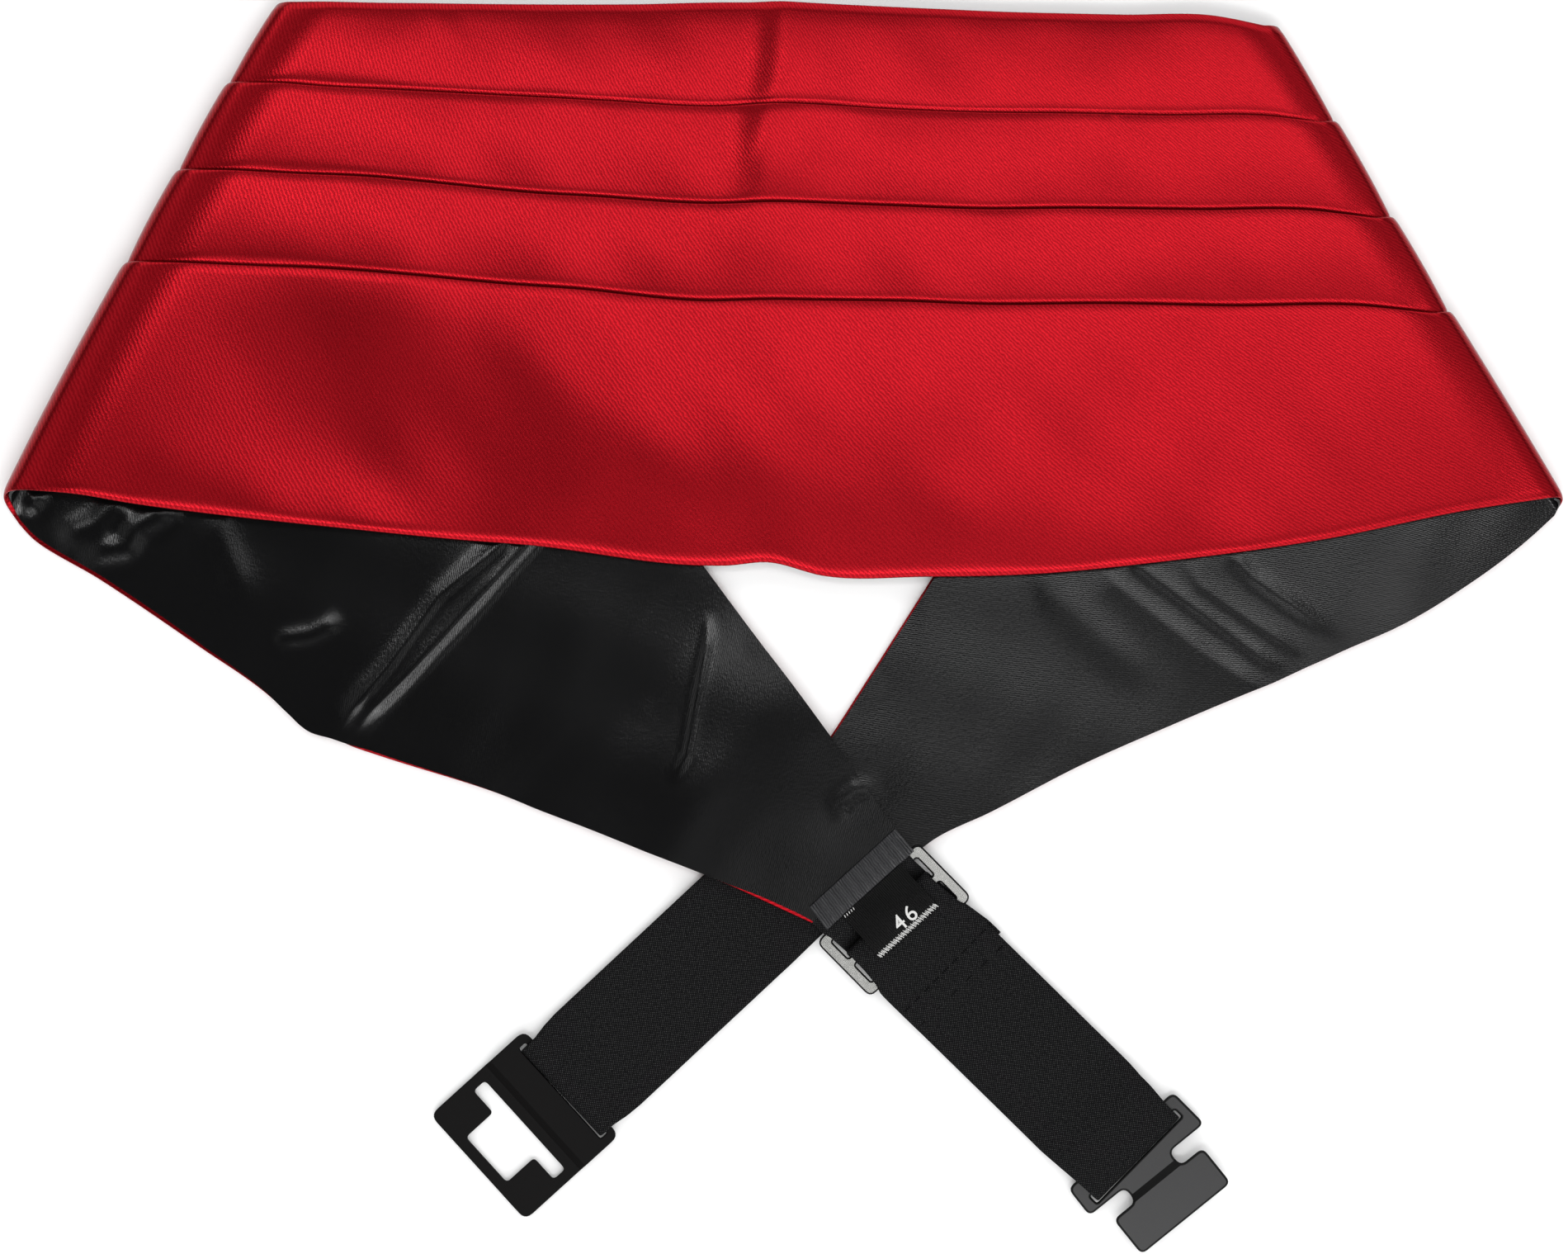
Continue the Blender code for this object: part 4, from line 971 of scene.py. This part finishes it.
binding = {
    "upper": ((26.7, -48.7), (6.0, -67.6)), "lower": ((31.3, -54.1), (10.2, -73.2)),
    # shares of the way across, and of the height over the base there
    "across": (0.0, 0.0, 0.03, 0.12, 0.28, 0.5, 0.72, 0.88, 0.97, 1.0, 1.0),
    "arch": (0.0, 0.35, 0.6, 0.85, 0.98, 1.0, 0.96, 0.8, 0.55, 0.3, 0.0),
    "base": 5.3, "height": 0.62, "width": 7.0, "rings": 260, "ribPitch": 0.8, "ribHeight": 0.09,
    "ends": 0.1, "endHeight": 0.4,         # towards both ends the arch drops to this share
    "pucker": 0.14,                        # drawn in by the stitches at both ends
    "wander": 0.012,                       # the middle strays by shares of the width
}


def makeBinding():
    # Tape over the end of the wing: a low arch across, carried along the end, with fine
    # ribs: height = arch(across) + rib * cos(2 pi along / pitch), and at both ends
    # pucker * exp(-(share / ends)^2) * sin(9 across + 40 share).
    upper, lower = np.array(binding["upper"]), np.array(binding["lower"])
    share = np.linspace(0, 1, binding["rings"])[:, None]
    across, arch = np.array(binding["across"]), np.array(binding["arch"])
    ends, endHeight = binding["ends"], binding["endHeight"]
    length = np.linalg.norm(upper[1] - upper[0])
    rib = np.cos(2 * np.pi * share * length / binding["ribPitch"]) * binding["ribHeight"]
    close = endHeight + (1 - endHeight) * ease(share, 0.0, ends) * (1 - ease(share, 1 - ends, 1.0))
    pucker = (binding["pucker"] * (bell(share, 0, ends) + bell(share, 1, ends))
              * np.sin(across * 9.0 + share * 40.0))
    wander = binding["wander"] * (np.sin(share * 9.0) + np.sin(share * 23.0) / 1.5)
    width = (across + wander * (1 - 2 * np.abs(across - 0.5)))[..., None]
    start, end = [side[0] + share * (side[1] - side[0]) for side in (upper, lower)]
    plan = start[:, None, :] + width * (end - start)[:, None, :]
    height = binding["base"] + arch * binding["height"] * close + (rib + pucker) * (arch > 0.5)
    points = np.concatenate((plan, height[..., None]), axis=-1)
    uv = np.stack(np.broadcast_arrays(share * length, across * binding["width"]), axis=-1) * 0.001
    piece = makePiece("end_binding_tape", points, tubeFaces(binding["rings"], len(across)),
                      ribbedTape, 60.0, uv, True)
    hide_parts("end_binding")
    return piece


endBinding = makeBinding()

tab = {"x": 25.7, "y": -68.8, "angle": -48.1, "near": -7.1, "far": 6.5, "half": 9.4,
       "rings": 28, "acrossPoints": 36, "level": 5.42, "wall": 0.35, "bow": 0.28, "wave": 0.05,
       "number": "46", "numberSize": 5.6, "numberAt": (3.5, 1.5), "numberDepth": 0.06,
       "edgeThreads": 62}


def tabBow(along):
    # 1 - (2 along)^2, with along as a share of the length from the middle
    middle, half = (tab["near"] + tab["far"]) / 2, (tab["far"] - tab["near"]) / 2
    return 1 - ((along - middle) / half)**2


def makeTab():
    # a flat ribbon that bows up a little between its sewn ends:
    # height = level + (bow + a faint wave across) * (1 - (2 along)^2)
    along = np.linspace(tab["near"], tab["far"], tab["rings"])[:, None]
    across = np.linspace(-tab["half"], tab["half"], tab["acrossPoints"])
    bottom = tab["level"] + (tab["bow"] + tab["wave"] * np.sin(across * 0.5 + 0.6)) * tabBow(along)
    side = np.concatenate((across, across[::-1])) + 0 * along
    height = np.concatenate((bottom + tab["wall"], bottom[:, ::-1]), axis=1)
    points = np.concatenate((onPlan(tab, along + 0 * side, side), height[..., None]), axis=-1)
    uv = np.stack((side, along + 0 * side), axis=-1) * 0.001
    piece = makePiece("size_tab_ribbon", points, tubeFaces(*side.shape), ribbonSatin, 60.0, uv,
                      True)
    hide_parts("size_tab")
    return piece


def makeNumber():
    # a plain stock number, raised like woven thread on the ribbon
    text = bpy.data.curves.new("size_tab_number", "FONT")
    text.body, text.size, text.extrude = tab["number"], tab["numberSize"], tab["numberDepth"]
    text.align_x, text.align_y, text.offset = "CENTER", "CENTER", 0.01
    text.space_character = 1.25
    mesh, points = meshFromCurve("size_tab_number", text, 0.0005)
    # its line runs up the strap's width, its feet point to the woven edge
    along, across = tab["numberAt"][0] - points[:, 1], tab["numberAt"][1] + points[:, 0]
    height = tab["level"] + tab["wall"] + 2 * tab["numberDepth"] + tab["bow"] * tabBow(along)
    placeMesh(mesh, onPlan(tab, along, across), height + points[:, 2], whiteThread)
    return layPiece("size_tab_number", mesh)


def tabThreads(name, along, across, rise, angle, length):
    # fine white threads on the ribbon, this far over its face
    height = np.full(len(across), tab["level"] + tab["wall"] + rise)
    middles = np.column_stack((onPlan(tab, along, across), height))
    return makeStitches(name, middles, angle, length, 0.1, whiteThread)


sizeTab = makeTab()
sizeNumber = makeNumber()
# the edge's threads lie a little unevenly, in steps of 2.399 radians that never repeat
uneven = 0.25 * np.sin(np.arange(tab["edgeThreads"]) * 2.399)
wovenEdge = tabThreads("size_tab_woven_edge", tab["far"] - 0.55 + uneven, np.linspace(
    -tab["half"] + 0.15, tab["half"] - 0.15, tab["edgeThreads"]), 0.08, -36.0, 1.25)
tackStitches = tabThreads("size_tab_tack_stitches", np.full(5, tab["near"] + 0.45),
                          np.linspace(-9.0, -6.2, 5), 0.05, -60.0, 0.8)
print("binding and size tab made")


def makeFloor():
    half = 3.0
    mesh = bpy.data.meshes.new("floor")
    mesh.from_pydata([(-half, -half, 0), (half, -half, 0), (half, half, 0), (-half, half, 0)],
                     [], [(0, 1, 2, 3)])
    mesh.materials.append(newMaterial("paleStudioFloor", {
        "Base Color": linear("#f4f4f4"), "Roughness": 0.9, "Specular IOR Level": 0.1})[0])
    floor = bpy.data.objects.new("floor", mesh)
    bpy.context.collection.objects.link(floor)
    floor.location.z = -0.0002


def areaLight(name, place, size, power, aim=None):
    # a white panel that looks at its aim, or else straight down
    data = bpy.data.lights.new(name, "AREA")
    data.shape = "RECTANGLE"
    data.size, data.size_y = size
    data.energy = power
    light = bpy.data.objects.new(name, data)
    bpy.context.collection.objects.link(light)
    light.location = place
    direction = np.array(aim or (*place[:2], 0.0)) - place
    yaw = math.atan2(direction[1] + 1e-9, direction[0])     # keeps x and y for one aimed down
    tilt = math.atan2(np.hypot(direction[0], direction[1]), -direction[2])
    light.rotation_euler = (tilt, 0.0, yaw - math.pi / 2)


makeFloor()
# the satin mirrors the panels overhead; the lamps low at the sides light the floor
areaLight("keyPanel", (0.18, 0.24, 1.25), (0.56, 0.34), 2.45)
areaLight("upperLeftPanel", (-0.27, 0.31, 1.25), (0.32, 0.16), 1.3)
areaLight("nearStrip", (0.15, -0.50, 1.25), (1.06, 0.20), 3.0)
areaLight("nearLamp", (-0.05, -0.64, 1.2), (0.9, 0.12), 3.6, aim=(0, 0, 0))
areaLight("lowerRightPanel", (0.20, -0.155, 1.25), (0.36, 0.14), 0.22)
areaLight("streakLamp", (0.60, -0.05, 1.25), (0.20, 0.20), 0.75)
areaLight("leftSide", (-0.9, 0.1, 0.75), (1.6, 1.0), 3.5, aim=(0, 0.05, 0))
areaLight("rightSide", (0.9, 0.1, 0.75), (1.6, 1.0), 3.5, aim=(0, 0.05, 0))
areaLight("farSide", (-0.1, 1.4, 0.8), (2.4, 1.2), 17, aim=(0, 0, 0))
areaLight("nearSide", (0.3, -1.4, 0.8), (2.4, 1.2), 23, aim=(0, 0, 0))
world = bpy.data.worlds.new("studio")
world.use_nodes = True
world.node_tree.nodes["Background"].inputs["Color"].default_value = (1, 1, 1, 1)
world.node_tree.nodes["Background"].inputs["Strength"].default_value = 0.08
bpy.context.scene.world = world

# The frame is 0.38 m wide at the middle height of the cloth, 4 mm over the floor. Its
# middle lies at the aim, in plan millimetres.
view = {"lens": 90.0, "sensor": 36.0, "width": 0.380, "level": 0.004, "aim": (-0.2, 0.1)}
camera = bpy.data.objects.new("camera", bpy.data.cameras.new("camera"))
bpy.context.collection.objects.link(camera)
camera.data.lens, camera.data.sensor_width = view["lens"], view["sensor"]
camera.location = ((planShift[0] + view["aim"][0]) * 0.001, (planShift[1] + view["aim"][1]) * 0.001,
                   view["width"] / view["sensor"] * view["lens"] + view["level"])
bpy.context.scene.camera = camera
bpy.context.scene.view_settings.view_transform = "Standard"
print("stage, light and camera set")
